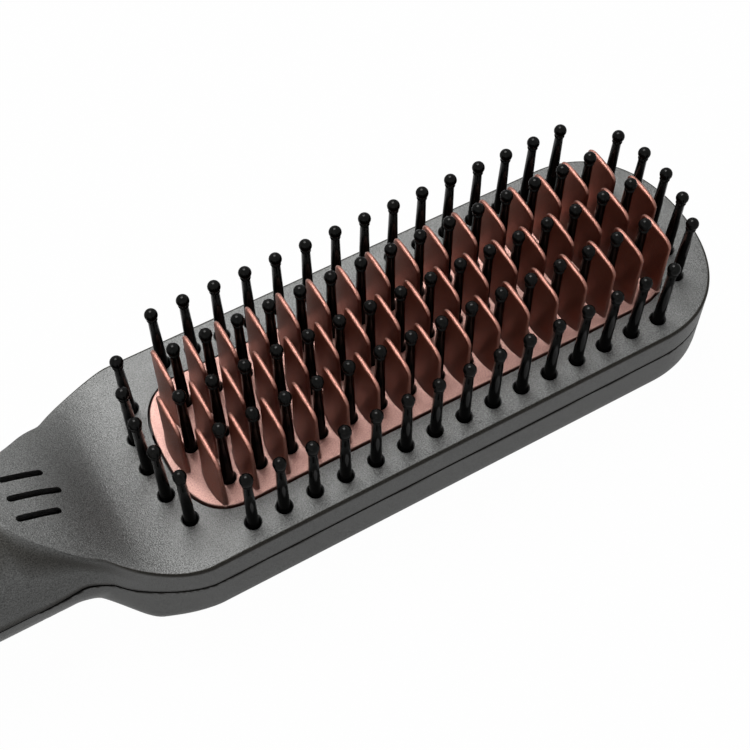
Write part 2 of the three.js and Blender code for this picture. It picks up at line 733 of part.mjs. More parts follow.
function ionEmitter() {
  const [z0, z1] = [topZ(emitterX0) - emitterDrop, topZ(emitterX1) - emitterDrop];
  const outline = [
    [emitterX0, z0], [emitterX1, z1], [emitterX1, z1 - EMITTER_THICK], [emitterX0, z0 - EMITTER_THICK],
  ];
  const reach = SLOT_GAP + SLOT_WIDTH + EMITTER_MARGIN;
  return sidePrism(outline, -reach, reach).intersect(body(WALL + FIT, TOP_WALL + FIT));
}

// Leads through the neck to the power board

const leadLow = carrierBase - LEAD_DROP;
const boardEdge = powerBoardTop - BOARD_THICK / 3;

// Along the channel at y, down under the head's floor, and back to the board's edge at endY.
function headLead(startX, y, z, neckY, endY) {
  return lead([
    [startX, y, z], [channelNeckX + CHANNEL_NOTCH, y, z], [channelNeckX - CHANNEL_NOTCH, y, z - 2.5],
    [-endArcX - 2, y, leadLow], [neckEndX, neckY, leadLow - 1],
    [powerX1 + LEAD_RISE, endY, powerBoardTop + 2], [powerX1 + FIT, endY, boardEdge],
  ]);
}

function heaterLead(side) {
  const y = side * (laneY - sensorOffset);
  return headLead(heaterNeckX - FIT, y, carrierTop - HEATER_THICK / 2, side * 5, side * 6.5);
}

function sensorLead(side) {
  const y = side * (laneY + sensorOffset);
  return headLead(heaterNeckX - 2 * FIT - SENSOR_LENGTH, y, sensorZ, side * 7.5, side * 9);
}

function ionLead() {
  const endX = emitterX0 - FIT;
  const z = topZ(endX) - emitterDrop - EMITTER_THICK / 2;
  const sideY = ION_BOX.width / 2 - 2 * LEAD_R;
  return lead([
    [endX, 0, z], [endX - 1.5, 0, z], [endX - 5, sideY - 0.4, z - 3], [powerX1 + 3, sideY, partsBase + 5],
    [ionBoxX1 + FIT, sideY, partsBase + ION_BOX.height / 2],
  ]);
}

// Shells

const headSeat = axisZ - HANDLE_R + LONG_HEAD_SUNK;
const longScrewTop = axisZ + LONG_SCREW_BITE;
const lidTop = axisZ + HANDLE_R;

function slotTools() {
  return [-1, 0, 1].map((k) => {
    const x1 = -SLOT_END - Math.abs(k) * SLOT_STAGGER;
    const x0 = -SLOT_END - SLOT_LENGTH;
    const r = SLOT_WIDTH / 2;
    const outline = stadium(x0 + r, k * SLOT_GAP, x1 - r, k * SLOT_GAP, r);
    return prism(outline, top - TOOL_REACH, lidTop + TOOL_REACH);
  });
}

// What stands inside a shell ends halfway into its wall.
const wallMiddle = body(WALL / 2, TOP_WALL / 2, WALL);

function shellHalf(side) {
  return cut(body(0, 0), body(WALL, TOP_WALL, WALL)).intersect(partingTool(side));
}

function frontHousing() {
  const bosses = bossPlaces.map(([x, y]) => rod(SCREW_BOSS_R, x, y, tabTop + FIT, top));
  const posts = boardPosts.map(([x, y]) => rod(POST_R, x, y, boardTop + FIT, lidTop));
  const pillars = housingScrewXs.map((x) => rod(PILLAR_R, x, 0, axisZ + FIT / 2, lidTop, 12));
  const shell = join(shellHalf(1), join(bosses, posts, pillars).intersect(wallMiddle));
  const pins = [...outerRows.near, ...outerRows.far, ...Object.values(endArcs).flatMap(arcPlaces)];
  const holes = pins.map(([x, y]) => rod(PIN_HOLE_R, x, y, plateBase - 1, top + 1));
  const opening = prism(plateOutline(FIT), plateBase - 1, top + 1);
  const bores = bossPlaces.map(([x, y]) => rod(SCREW_BORE_R, x, y, tabTop, plateBase - FIT));
  const biteTop = boardTop + POST_BITE + 1;
  const postBores = boardPosts.map(([x, y]) => rod(SCREW_BORE_R, x, y, boardTop, biteTop));
  const pillarBores = housingScrewXs.map((x) => rod(LONG_BORE_R, x, 0, axisZ, longScrewTop + 2));
  const wells = buttons.map(({ x, r }) => rod(r + FIT, x, 0, buttonBase, lidTop + 5, 16));
  const lensHole = rod(LENS_R + FIT, lensX, 0, buttonBase, lidTop + 5, 12);
  return cut(shell, holes, opening, bores, postBores, pillarBores, wells, lensHole, slotTools());
}

function backHousing() {
  const columns = housingScrewXs.map((x) => rod(COLUMN_R, x, 0, 0, axisZ - FIT / 2, 12));
  const ribTop = powerBoardTop - BOARD_THICK - FIT;
  const [thick, half] = [RIB_THICK / 2, BOARD_HALF_WIDTH - 1];
  const ribs = ribXs.map((x) => box(x - thick, x + thick, -half, half, 0, ribTop));
  const shell = join(shellHalf(-1), join(columns, ribs).intersect(wallMiddle));
  const bores = housingScrewXs.map((x) => rod(LONG_BORE_R, x, 0, 0, axisZ + 1, 12));
  const sinks = housingScrewXs.map((x) => rod(LONG_HEAD_R + FIT, x, 0, -1, headSeat, 12));
  return cut(shell, bores, sinks);
}

function housingScrew(x) {
  const seat = headSeat - FIT;
  return turnedZ([
    [0, seat - LONG_HEAD_THICK], [LONG_HEAD_R, seat - LONG_HEAD_THICK], [LONG_HEAD_R, seat],
    [LONG_SCREW_R, seat], [LONG_SCREW_R, longScrewTop], [0, longScrewTop],
  ], x, 0, 12);
}

// Handle end and swivelling gland

const capX0 = handleEndX - FIT - CAP_LENGTH;
const capX1 = handleEndX - FIT;
const flangeX0 = capX1 - FLANGE_THICK;
const bearingX0 = capX1 + FIT;
const bearingX1 = bearingX0 + BEARING_THICK;
const spigotR = handleInnerR - FIT;
const glandEndX = capX0 - GLAND_REACH;
const glandInnerX = bearingX1 + GLAND_TAIL;
const ringX0 = glandInnerX + FIT;
const contactPinX0 = ringX0 + RING_THICK + FIT;
const contactPlateX0 = contactPinX0 + CONTACT_PIN_LENGTH + FIT;
const spigotX1 = contactPlateX0 - FIT;

function endCap() {
  const rimR = GLAND_COLLAR_R + FIT;
  const pocketR = GLAND_FLANGE_R + FIT;
  const profile = [
    [capX0, rimR], [capX0, CAP_END_R], [capX0 + CAP_RIM.length, CAP_END_R + CAP_RIM.rise],
    [capX0 + CAP_SHOULDER.length, HANDLE_R - CAP_SHOULDER.drop],
    [capX1, HANDLE_R], [capX1, spigotR], [spigotX1, spigotR], [spigotX1, spigotR - SPIGOT_WALL],
    [capX1, spigotR - SPIGOT_WALL], [capX1, pocketR], [flangeX0 - FIT, pocketR], [flangeX0 - FIT, rimR],
    [capX0, rimR],
  ];
  return turnedX(profile, 20);
}

function swivelGland() {
  const profile = [
    [glandEndX, GLAND_BORE_R], [glandEndX, GLAND_R - GLAND_BEVEL], [glandEndX + GLAND_BEVEL, GLAND_R],
    [capX0 - 2 * GLAND_BEVEL, GLAND_R], [capX0 - GLAND_BEVEL, GLAND_COLLAR_R], [flangeX0, GLAND_COLLAR_R],
    [flangeX0, GLAND_FLANGE_R], [capX1, GLAND_FLANGE_R], [capX1, GLAND_R],
    [glandInnerX, GLAND_R], [glandInnerX, GLAND_BORE_R], [glandEndX, GLAND_BORE_R],
  ];
  return turnedX(profile);
}

function swivelBearing() {
  return ringAroundAxis(bearingX0, bearingX1, GLAND_R + FIT, spigotR - SPIGOT_WALL - FIT);
}

function slipRing(r) {
  return ringAroundAxis(ringX0, ringX0 + RING_THICK, r, r + RING_WIDTH);
}

function contactPlate() {
  const x1 = contactPlateX0 + CONTACT_PLATE_THICK;
  return turnedX([[contactPlateX0, 0], [contactPlateX0, spigotR], [x1, spigotR], [x1, 0]]);
}

// A pin that stands on the middle of a slip ring.
function contactPin(ringR) {
  const shape = new THREE.CylinderGeometry(CONTACT_PIN_R, CONTACT_PIN_R, CONTACT_PIN_LENGTH, 8);
  const z = axisZ + ringR + RING_WIDTH / 2;
  return solid(shape.rotateZ(Math.PI / 2).translate(contactPinX0 + CONTACT_PIN_LENGTH / 2, 0, z));
}

// Assembly

const finishes = {
  housing: { color: 0x55504e, roughness: 0.42, metalness: 0.6 },
  copper: { color: 0xd79a8c, roughness: 0.38, metalness: 0.8 },
  bristle: { color: 0x161414, roughness: 0.25, metalness: 0 },
  heatPlastic: { color: 0x2a2826, roughness: 0.6, metalness: 0 },
  ceramic: { color: 0xe8e4da, roughness: 0.7, metalness: 0 },
  mica: { color: 0xc2a878, roughness: 0.5, metalness: 0 },
  steel: { color: 0xb8babd, roughness: 0.3, metalness: 1 },
  board: { color: 0x1f5d3a, roughness: 0.5, metalness: 0 },
  plastic: { color: 0x1b1b1c, roughness: 0.45, metalness: 0 },
  clear: { color: 0xdfe6e8, roughness: 0.2, metalness: 0 },
  brass: { color: 0xc9a253, roughness: 0.3, metalness: 1 },
  redLead: { color: 0xa8322a, roughness: 0.5, metalness: 0 },
  blueLead: { color: 0x2d4f9a, roughness: 0.5, metalness: 0 },
};

const group = new THREE.Group();

function place(name, part, finish) {
  const { vertProperties, triVerts } = part.getMesh();
  const geometry = new THREE.BufferGeometry();
  geometry.setAttribute('position', new THREE.BufferAttribute(vertProperties, 3));
  geometry.setIndex(new THREE.BufferAttribute(triVerts, 1));
  geometry.computeVertexNormals();
  const mesh = new THREE.Mesh(geometry, new THREE.MeshStandardMaterial(finishes[finish]));
  mesh.name = name;
  group.add(mesh);
}

place('front_housing', frontHousing(), 'housing');
place('back_housing', backHousing(), 'housing');
place('heating_plate', heatingPlate(), 'copper');
place('plate_carrier', plateCarrier(), 'heatPlastic');
for (const [name, places] of Object.entries(innerRows)) {
  const comb = straightComb(places, carrierBase - FIT, COMB_THICK, INNER_PIN_HEIGHT);
  place(`inner_bristles_${name}`, comb, 'bristle');
}
for (const [name, places] of Object.entries(outerRows)) {
  const comb = straightComb(places, carrierTop, STRIP_THICK, OUTER_PIN_HEIGHT);
  place(`outer_bristles_${name}`, comb, 'bristle');
}
for (const [name, arc] of Object.entries(endArcs)) {
  place(`outer_bristles_${name}`, arcComb(arc, carrierTop, STRIP_THICK, OUTER_PIN_HEIGHT), 'bristle');
}
for (const [name, side] of [['near', -1], ['far', 1]]) {
  place(`heater_${name}`, heater(side), 'ceramic');
  place(`mica_sheet_${name}`, micaSheet(side), 'mica');
  place(`heater_lead_${name}`, heaterLead(side), 'redLead');
}
place('thermistor', sensor(-1), 'clear');
place('thermistor_lead', sensorLead(-1), 'blueLead');
place('thermal_fuse', sensor(1), 'steel');
place('thermal_fuse_lead', sensorLead(1), 'blueLead');
bossPlaces.forEach((spot, i) => place(`carrier_screw_${i + 1}`, carrierScrew(spot), 'steel'));
place('ion_emitter', ionEmitter(), 'plastic');
place('ion_generator', ionGenerator(), 'plastic');
place('ion_lead', ionLead(), 'redLead');
place('control_board', controlBoard(), 'board');
place('power_board', powerBoard(), 'board');
place('capacitor', capacitor(), 'plastic');
place('triac', triac(), 'plastic');
for (const spec of buttons) {
  place(`${spec.name}_button`, button(spec), 'plastic');
  place(`${spec.name}_switch`, tactSwitch(spec), 'plastic');
}
place('indicator_lens', lens(), 'clear');
boardPosts.forEach((spot, i) => place(`board_screw_${i + 1}`, boardScrew(spot), 'steel'));
housingScrewXs.forEach((x, i) => place(`housing_screw_${i + 1}`, housingScrew(x), 'steel'));
place('end_cap', endCap(), 'plastic');
place('swivel_gland', swivelGland(), 'plastic');
place('swivel_bearing', swivelBearing(), 'plastic');
place('slip_ring_outer', slipRing(OUTER_RING_R), 'brass');
place('slip_ring_inner', slipRing(INNER_RING_R), 'brass');
place('contact_plate', contactPlate(), 'board');
place('contact_pin_outer', contactPin(OUTER_RING_R), 'brass');
place('contact_pin_inner', contactPin(INNER_RING_R), 'brass');

export default group;
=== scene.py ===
import json
import math

import bmesh
import bpy
import numpy as np
from mathutils import Matrix, Vector


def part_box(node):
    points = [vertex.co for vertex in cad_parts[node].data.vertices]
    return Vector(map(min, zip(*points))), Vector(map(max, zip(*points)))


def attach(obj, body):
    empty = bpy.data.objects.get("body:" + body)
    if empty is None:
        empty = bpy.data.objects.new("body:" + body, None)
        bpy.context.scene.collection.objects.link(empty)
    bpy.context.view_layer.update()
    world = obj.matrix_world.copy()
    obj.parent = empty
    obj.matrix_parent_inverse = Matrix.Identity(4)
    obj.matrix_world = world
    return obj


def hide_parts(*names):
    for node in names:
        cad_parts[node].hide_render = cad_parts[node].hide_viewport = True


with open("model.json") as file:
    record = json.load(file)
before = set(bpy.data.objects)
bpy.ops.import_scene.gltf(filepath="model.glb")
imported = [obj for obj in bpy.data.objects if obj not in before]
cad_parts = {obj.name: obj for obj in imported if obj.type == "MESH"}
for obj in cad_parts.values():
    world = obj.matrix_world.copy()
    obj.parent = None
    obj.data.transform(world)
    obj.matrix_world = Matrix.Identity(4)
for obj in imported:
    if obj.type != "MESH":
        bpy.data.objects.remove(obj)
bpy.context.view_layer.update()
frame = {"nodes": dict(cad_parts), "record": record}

mm = 0.001
print("frame loaded,", len(frame["nodes"]), "nodes")


# Camera

camera = {
    "lens": 66.445, "sensorWidth": 36,
    "azimuth": -30.141, "elevation": 59.394, "roll": 0.709,
    "distance": 270.89,
    "target": (-10.476, -3.264, 19.8),  # on the head's flat top
    "clip": (0.01, 20),  # metres
}


def addCamera(s):
    # The camera looks at the target from the azimuth and elevation, then rolls about its own axis.
    az, el, roll = (math.radians(s[key]) for key in ("azimuth", "elevation", "roll"))
    back = Vector((math.sin(az) * math.cos(el), -math.cos(az) * math.cos(el), math.sin(el)))
    side = (-back).cross(Vector((0, 0, 1))).normalized()
    up = side.cross(-back)
    right = math.cos(roll) * side + math.sin(roll) * up
    top = math.cos(roll) * up - math.sin(roll) * side
    data = bpy.data.cameras.new("camera")
    data.lens = s["lens"]
    data.sensor_width = s["sensorWidth"]
    data.clip_start, data.clip_end = s["clip"]
    cam = bpy.data.objects.new("camera", data)
    bpy.context.scene.collection.objects.link(cam)
    place = Matrix((right, top, back)).transposed().to_4x4()
    place.translation = Vector(s["target"]) * mm + back * s["distance"] * mm
    cam.matrix_world = place
    bpy.context.scene.camera = cam


addCamera(camera)


# Mesh helpers

def makeMesh(name, points, faces):
    # Points in millimetres and faces as index lists become one object at the origin.
    mesh = bpy.data.meshes.new(name)
    mesh.from_pydata((np.asarray(points, float) * mm).tolist(), [], [list(map(int, f)) for f in faces])
    mesh.validate()
    obj = bpy.data.objects.new(name, mesh)
    bpy.context.scene.collection.objects.link(obj)
    return obj


def shade(obj, angle):
    # Smooth faces, with a sharp edge wherever two faces meet at more than the angle.
    mesh = obj.data
    mesh.polygons.foreach_set("use_smooth", np.ones(len(mesh.polygons), bool))
    mesh.set_sharp_from_angle(angle=math.radians(angle))
    mesh.update()


def weld(obj):
    # Points closer than the gap become one, faces without area go, and faces turn outwards.
    gap = 0.002 * mm
    edit = bmesh.new()
    edit.from_mesh(obj.data)
    bmesh.ops.remove_doubles(edit, verts=edit.verts, dist=gap)
    bmesh.ops.dissolve_degenerate(edit, dist=gap / 10, edges=edit.edges)
    bmesh.ops.recalc_face_normals(edit, faces=edit.faces)
    if edit.calc_volume(signed=True) < 0:
        bmesh.ops.reverse_faces(edit, faces=edit.faces)
    edit.to_mesh(obj.data)
    edit.free()


def quarterTurn(steps):
    return np.linspace(0, np.pi / 2, steps + 1)


def gridFaces(rows, cols, closeCols=False):
    # Quads between neighbouring points of a rows by cols grid.
    c = np.arange(cols if closeCols else cols - 1)
    r, c = (a.ravel() for a in np.meshgrid(np.arange(rows - 1), c, indexing="ij"))
    below, beside = r + 1, (c + 1) % cols
    return np.stack([r * cols + c, r * cols + beside, below * cols + beside, below * cols + c], 1).tolist()


def tubeFaces(rows, cols, closeFirst=True, closeLast=True):
    # Quads between rings of cols points, with one face across each closed end.
    faces = gridFaces(rows, cols, closeCols=True)
    if closeFirst:
        faces.append(list(range(cols))[::-1])
    if closeLast:
        faces.append(list(range((rows - 1) * cols, rows * cols)))
    return faces


def turned(profile, sides):
    # Each [radius, height] of the profile is swept round the Z axis: x = r cos a, y = r sin a.
    # An open profile gets a disc at each end, and one that returns to its start is a ring.
    r, z = np.array(profile, float).T
    a = 2 * np.pi * (np.arange(sides) + 0.5) / sides
    grid = np.stack(np.broadcast_arrays(r[:, None] * np.cos(a), r[:, None] * np.sin(a), z[:, None]), -1)
    isRing = r[0] == r[-1] and z[0] == z[-1]
    faces = tubeFaces(len(r), sides, r[0] > 0 and not isRing, r[-1] > 0 and not isRing)
    return grid.reshape(-1, 3), faces


def rods(size, sides, places):
    # A round bar of [radius, foot, top] at each place.
    r, foot, top = size
    return copies(*turned([(r, foot), (r, top)], sides), places)


def prism(ring, z0, z1):
    # The ring's outline carried straight up from z0 to z1.
    count = len(ring)
    low = np.column_stack([ring, np.full(count, float(z0))])
    high = np.column_stack([ring, np.full(count, float(z1))])
    return np.concatenate([low, high]), tubeFaces(2, count)


def stadium(x0, x1, y, r, z0, z1):
    # A slot's cutter: two half circles of radius r, joined by straight sides.
    steps = 10
    a = np.linspace(-np.pi / 2, np.pi / 2, steps + 1)
    ring = np.concatenate([
        np.stack([x1 - r + r * np.cos(a), y + r * np.sin(a)], 1),
        np.stack([x0 + r - r * np.cos(a), y - r * np.sin(a)], 1),
    ])
    return prism(ring, z0, z1)


def alongX(points, faces, axisZ):
    # A shape turned round Z laid along X, its height becoming x, about the line at height axisZ.
    return np.stack([points[:, 2], points[:, 1], axisZ - points[:, 0]], 1), faces


def rounded(profile, radius, steps=4):
    # Each inner corner becomes a curve that starts and ends a radius away, or less on a short side:
    # (1 - t)^2 start + 2 t (1 - t) corner + t^2 end.
    sideShare = 0.45
    p = np.array(profile, float)
    result = [p[0]]
    for before, corner, after in zip(p, p[1:], p[2:]):
        a, b = before - corner, after - corner
        reach = min(radius, sideShare * np.linalg.norm(a), sideShare * np.linalg.norm(b))
        start, end = corner + reach * a / np.linalg.norm(a), corner + reach * b / np.linalg.norm(b)
        for t in np.linspace(0, 1, steps + 1):
            result.append((1 - t) ** 2 * start + 2 * t * (1 - t) * corner + t ** 2 * end)
    return np.array([*result, p[-1]])


def copies(points, faces, places):
    # The same shape at each [x, y] place.
    spots = np.zeros((len(places), 3))
    spots[:, :2] = places
    allPoints = (spots[:, None, :] + points[None]).reshape(-1, 3)
    allFaces = [[i + k * len(points) for i in f] for k in range(len(places)) for f in faces]
    return allPoints, allFaces


def together(*shapes):
    # Several point and face sets as one.
    points, faces, start = [], [], 0
    for p, f in shapes:
        points.append(np.asarray(p, float))
        faces += [[int(i) + start for i in face] for face in f]
        start += len(p)
    return np.concatenate(points), faces


def makeTool(*shapes):
    # The shapes as one cutter or filler, which carve uses up.
    return makeMesh("tool", *together(*shapes))


def carve(obj, tools, operation="DIFFERENCE"):
    # Cuts or joins the tools into the piece, and leaves a plain mesh.
    for tool in tools:
        modifier = obj.modifiers.new("carve", "BOOLEAN")
        modifier.operation = operation
        modifier.solver = "MANIFOLD"
        modifier.object = tool
    graph = bpy.context.evaluated_depsgraph_get()
    mesh = bpy.data.meshes.new_from_object(obj.evaluated_get(graph))
    obj.modifiers.clear()
    obj.data = mesh
    for tool in tools:
        bpy.data.objects.remove(tool)


def finishPiece(obj, body, slotName, node):
    # The piece takes its slot's material, its body and the CAD node that it stands for.
    obj.data.materials.clear()
    obj.data.materials.append(looks[slotName])
    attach(obj, body)
    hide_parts(node)


def smooth(t):
    # 3 t^2 - 2 t^3, held at 0 and 1 beyond the ends.
    t = np.clip(t, 0, 1)
    return t * t * (3 - 2 * t)


def softMax(a, b, soft):
    # The greater of two values, with a soft change from one to the other.
    return (a + b + np.sqrt((a - b) ** 2 + soft ** 2)) / 2


# Materials

noiseSpan = (0.3, 0.7)  # most of a noise's values lie between these
shadeFull = 0.7  # the attribute's value at which a look has all its painted shade colour
deepestShade = 0.12  # the brightness left at value 1, the deepest painted shade
plainFinish = {  # what a look has unless its own settings say otherwise
    "broadScale": 40, "cloud": 0.05, "roughVary": 0.04, "depth": 0.00003,
    "metallic": 0, "specular": 0.5, "tint": 1,
}


def nodeTree(name):
    material = bpy.data.materials.new(name)
    material.use_nodes = True
    tree = material.node_tree
    return material, tree, tree.nodes["Principled BSDF"]


def addNode(tree, kind, inputs=None, **settings):
    # A node with its settings, and each input linked to a socket or set to a value.
    node = tree.nodes.new(kind)
    for key, value in settings.items():
        setattr(node, key, value)
    for key, value in (inputs or {}).items():
        if isinstance(value, bpy.types.NodeSocket):
            tree.links.new(value, node.inputs[key])
        else:
            node.inputs[key].default_value = value
    return node


def noise(tree, scale, detail=2, rough=0.5):
    # Noise on Object coordinates; the scale is in cells per metre.
    place = addNode(tree, "ShaderNodeTexCoord").outputs["Object"]
    inputs = {"Vector": place, "Scale": scale, "Detail": detail, "Roughness": rough}
    return addNode(tree, "ShaderNodeTexNoise", inputs).outputs["Fac"]


def grainNoise(tree, s):
    return noise(tree, s["grainScale"], detail=3, rough=0.6)


def tones(tree, value, dark, light):
    # A noise's value as a colour from dark to light; a plain number is a grey.
    node = addNode(tree, "ShaderNodeValToRGB", {"Fac": value})
    for element, position, colour in zip(node.color_ramp.elements, noiseSpan, (dark, light)):
        element.position = position
        element.color = (colour, colour, colour, 1) if np.isscalar(colour) else (*colour, 1)
    return node.outputs["Color"]


def darkAndLight(colour, vary):
    # The colour less and plus the share by which it varies.
    return [c * (1 - vary) for c in colour], [min(c * (1 + vary), 1) for c in colour]


def mixColours(tree, factor, a, b, blend="MIX"):
    # The node has sockets for each kind of value, and the colours' are 6 and 7 going in and 2 coming out.
    inputs = {"Factor": factor, 6: a, 7: b}
    return addNode(tree, "ShaderNodeMix", inputs, data_type="RGBA", blend_type=blend).outputs[2]


def grainyLook(name, settings):
    # Base colour varied by a fine and a broad noise, roughness by the fine one, and a fine bump.
    s = {**plainFinish, **settings}
    material, tree, shader = nodeTree(name)
    fine = grainNoise(tree, s)
    broad = noise(tree, s["broadScale"])
    grain = tones(tree, fine, *darkAndLight(s["colour"], s["vary"]))
    cloud = tones(tree, broad, 1 - s["cloud"], 1.0)
    colour = mixColours(tree, 1.0, grain, cloud, "MULTIPLY")
    tree.links.new(colour, shader.inputs["Base Color"])
    rough = addNode(tree, "ShaderNodeMapRange", {
        "Value": fine, "From Min": noiseSpan[0], "From Max": noiseSpan[1],
        "To Min": s["roughness"] - s["roughVary"], "To Max": s["roughness"] + s["roughVary"]})
    tree.links.new(rough.outputs["Result"], shader.inputs["Roughness"])
    bump = addNode(tree, "ShaderNodeBump", {"Strength": s["bump"], "Distance": s["depth"], "Height": fine})
    tree.links.new(bump.outputs["Normal"], shader.inputs["Normal"])
    shader.inputs["Metallic"].default_value = s["metallic"]
    shader.inputs["Specular IOR Level"].default_value = s["specular"]
    shader.inputs["Specular Tint"].default_value = (s["tint"], s["tint"], s["tint"], 1)
    return material, tree, shader, colour


def paintedShadeLook(name, attribute, s):
    # Painted shade: the attribute mixes in the shade colour up to its full value, and darkens it further
    # from there to 1.
    material, tree, shader, first = grainyLook(name, s)
    value = addNode(tree, "ShaderNodeAttribute", attribute_name=attribute).outputs["Fac"]
    share = addNode(tree, "ShaderNodeMapRange", {"Value": value, "From Max": shadeFull})
    depth = addNode(tree, "ShaderNodeMapRange", {
        "Value": value, "From Min": shadeFull, "To Min": 1.0, "To Max": deepestShade})
    shadeColour = tones(tree, grainNoise(tree, s), *darkAndLight(s["shadeColour"], s["vary"]))
    both = mixColours(tree, share.outputs["Result"], first, shadeColour)
    shadedColour = mixColours(tree, 1.0, both, depth.outputs["Result"], "MULTIPLY")
    tree.links.new(shadedColour, shader.inputs["Base Color"])
    return material


paint = {
    "colour": (0.100, 0.101, 0.099), "vary": 0.55, "grainScale": 4000, "broadScale": 30, "cloud": 0.06,
    "roughness": 0.39, "roughVary": 0.10, "bump": 1.0, "depth": 0.0001,
    "metallic": 0.6, "specular": 0.2, "tint": 0.52,
    "shadeColour": (0.030, 0.028, 0.024),  # painted shade on the parting lip and below the neck's crest, and a darker line on the rounded top edge
}
coating = {
    "colour": (0.315, 0.186, 0.160), "vary": 0.36, "grainScale": 4000, "broadScale": 60, "cloud": 0.06,
    "roughness": 0.38, "roughVary": 0.08, "bump": 0.9, "depth": 0.0001,
    "metallic": 0.8, "specular": 0.2,
    "shadeColour": (0.24, 0.072, 0.043),  # painted reflection and shade on the fins' broad faces and edges
}
finishes = {
    "bristle_black": {
        "colour": (0.007, 0.007, 0.0067), "vary": 0.3, "grainScale": 1800, "roughness": 0.11, "bump": 0.08,
        "roughVary": 0.03, "depth": 0.00004, "metallic": 0.68, "specular": 0.25, "tint": 0.3},
    "heat_plastic": {
        "colour": (0.03, 0.028, 0.026), "vary": 0.12, "grainScale": 2500, "roughness": 0.6, "bump": 0.2},
    "heater_ceramic": {
        "colour": (0.8, 0.78, 0.72), "vary": 0.05, "grainScale": 3000, "roughness": 0.7, "bump": 0.2},
    "mica": {
        "colour": (0.5, 0.38, 0.22), "vary": 0.2, "grainScale": 900, "roughness": 0.35, "bump": 0.1},
    "sensor_glass": {
        "colour": (0.6, 0.65, 0.65), "vary": 0.03, "grainScale": 900, "roughness": 0.1, "bump": 0.02},
    "steel": {
        "colour": (0.55, 0.55, 0.56), "vary": 0.06, "grainScale": 2500, "roughness": 0.3, "bump": 0.1,
        "metallic": 1},
    "lead_red": {
        "colour": (0.35, 0.03, 0.02), "vary": 0.08, "grainScale": 2000, "roughness": 0.45, "bump": 0.1},
    "lead_blue": {
        "colour": (0.03, 0.08, 0.35), "vary": 0.08, "grainScale": 2000, "roughness": 0.45, "bump": 0.1},
    "inner_plastic": {
        "colour": (0.02, 0.02, 0.022), "vary": 0.1, "grainScale": 2500, "roughness": 0.5, "bump": 0.2},
    "board_green": {
        "colour": (0.02, 0.14, 0.06), "vary": 0.15, "grainScale": 700, "roughness": 0.4, "bump": 0.1},
    "button_plastic": {
        "colour": (0.020, 0.019, 0.019), "vary": 0.12, "grainScale": 3000, "roughness": 0.38, "bump": 0.15},
    "lens_clear": {
        "colour": (0.75, 0.78, 0.78), "vary": 0.02, "grainScale": 900, "roughness": 0.12, "bump": 0.02},
    "handle_trim": {
        "colour": (0.024, 0.023, 0.023), "vary": 0.12, "grainScale": 3200, "roughness": 0.48, "bump": 0.2},
    "brass": {
        "colour": (0.7, 0.5, 0.2), "vary": 0.05, "grainScale": 2500, "roughness": 0.25, "bump": 0.05,
        "metallic": 1},
}
looks = {
    # The housing's edge attribute and the plate's face attribute paint shade and reflection into these two
    # looks.
    "housing_paint": paintedShadeLook("housing_paint", "edge", paint),
    "plate_coating": paintedShadeLook("plate_coating", "face", coating),
    **{name: grainyLook(name, s)[0] for name, s in finishes.items()},
}
print("materials made")


# Bristle field

field = {
    "pitch": 6.5, "rowGap": 9.4, "sideRowPins": 15, "outerRowY": 19.6,
    "arcX": 57.7, "arcPins": 5, "top": 19.8,
    "tipArc": {"side": 1, "r": 30, "pitch": 6.5},
    "neckArc": {"side": -1, "r": 38, "pitch": 6.8},
}


def row(count, y):
    # Places along X, one pitch apart, with the row's middle at 0.
    x = (np.arange(count) - (count - 1) / 2) * field["pitch"]
    return np.stack([x, np.full(count, float(y))], 1)


def arc(s):
    # Places on a circle of radius r whose outermost point is at arcX.
    count = field["arcPins"]
    a = (np.arange(count) - (count - 1) / 2) * s["pitch"] / s["r"]
    x = field["arcX"] - s["r"] * (1 - np.cos(a))
    return np.stack([s["side"] * x, s["r"] * np.sin(a)], 1)


sideCount = field["sideRowPins"]
innerRows = {
    "near": row(sideCount, -field["rowGap"]),
    "middle": row(sideCount + 1, 0),
    "far": row(sideCount, field["rowGap"]),
}
outerRows = {
    "near": row(sideCount, -field["outerRowY"]),
    "far": row(sideCount, field["outerRowY"]),
    "tip": arc(field["tipArc"]),
    "neck": arc(field["neckArc"]),
}


# Housing shells

housing = {
    "top": field["top"], "halfWidth": 24.35, "tipBowX": 44.2, "tipX": 65.65, "squareness": 2.2,
    "topEdge": 0.6, "backEdge": 4.6, "leastEdge": 0.2, "draft": 0.35,
    "neckStartX": -55.4, "neckEndX": -72.5, "neckCurve": 1.65, "neckSoft": 0.05,
    "overhang": 5.7, "overhangSpread": 0.6, "overhangDelay": 0.4,  # lower down, the width reaches further
    "roundingStart": -66.6, "roundingLength": 13.9,
    "sideTurn": 0.5, "cornerTurn": 0.4, "backTurn": 0.1,  # shares of the half turn round the handle
    "rampFootX": -65.1, "rampSlope": 0.65, "rampBlend": 6.7,
    "crownStart": -66, "crownLength": 14, "crown": 0.27,  # share of the height left to the handle's top
    "hollow": 1.2, "hollowEnd": -112, "hollowRise": 8, "hollowFall": 25,  # draws in below the crest
    "hollowTurns": (0.12, 0.42), "hollowTurnFall": 0.3,
    "handleR": 16, "axisZ": 17.8, "endX": -205,
    "wall": 2, "topWall": 1.8, "partingDepth": 7.15, "gap": 0.36, "lip": 0.2,
    "partingRiseX": -69.7, "partingRiseLength": 8.5, "partingSearch": (0.5, 2.9), "halvings": 40,
    "handleRows": 34, "neckRows": 70, "headRows": 16, "bowRows": 56, "rowsBeforeRamp": 6, "rowsPastNeck": 4,
    "flatCols": 8, "edgeCols": 5, "sideCols": 12, "backCols": 9, "lipSteps": 3,
    # Painted shade on the parting lip and below the neck's crest, and a darker line on the rounded top edge.
    "partingShade": 1.0, "edgeMark": 0.82, "neckShade": 0.55, "neckShadeRise": 9, "neckShadeCols": 6,
    "holeR": 1.55, "holeDepth": 4, "holeSides": 28, "chamfer": 0.2, "creaseAngle": 32,
}


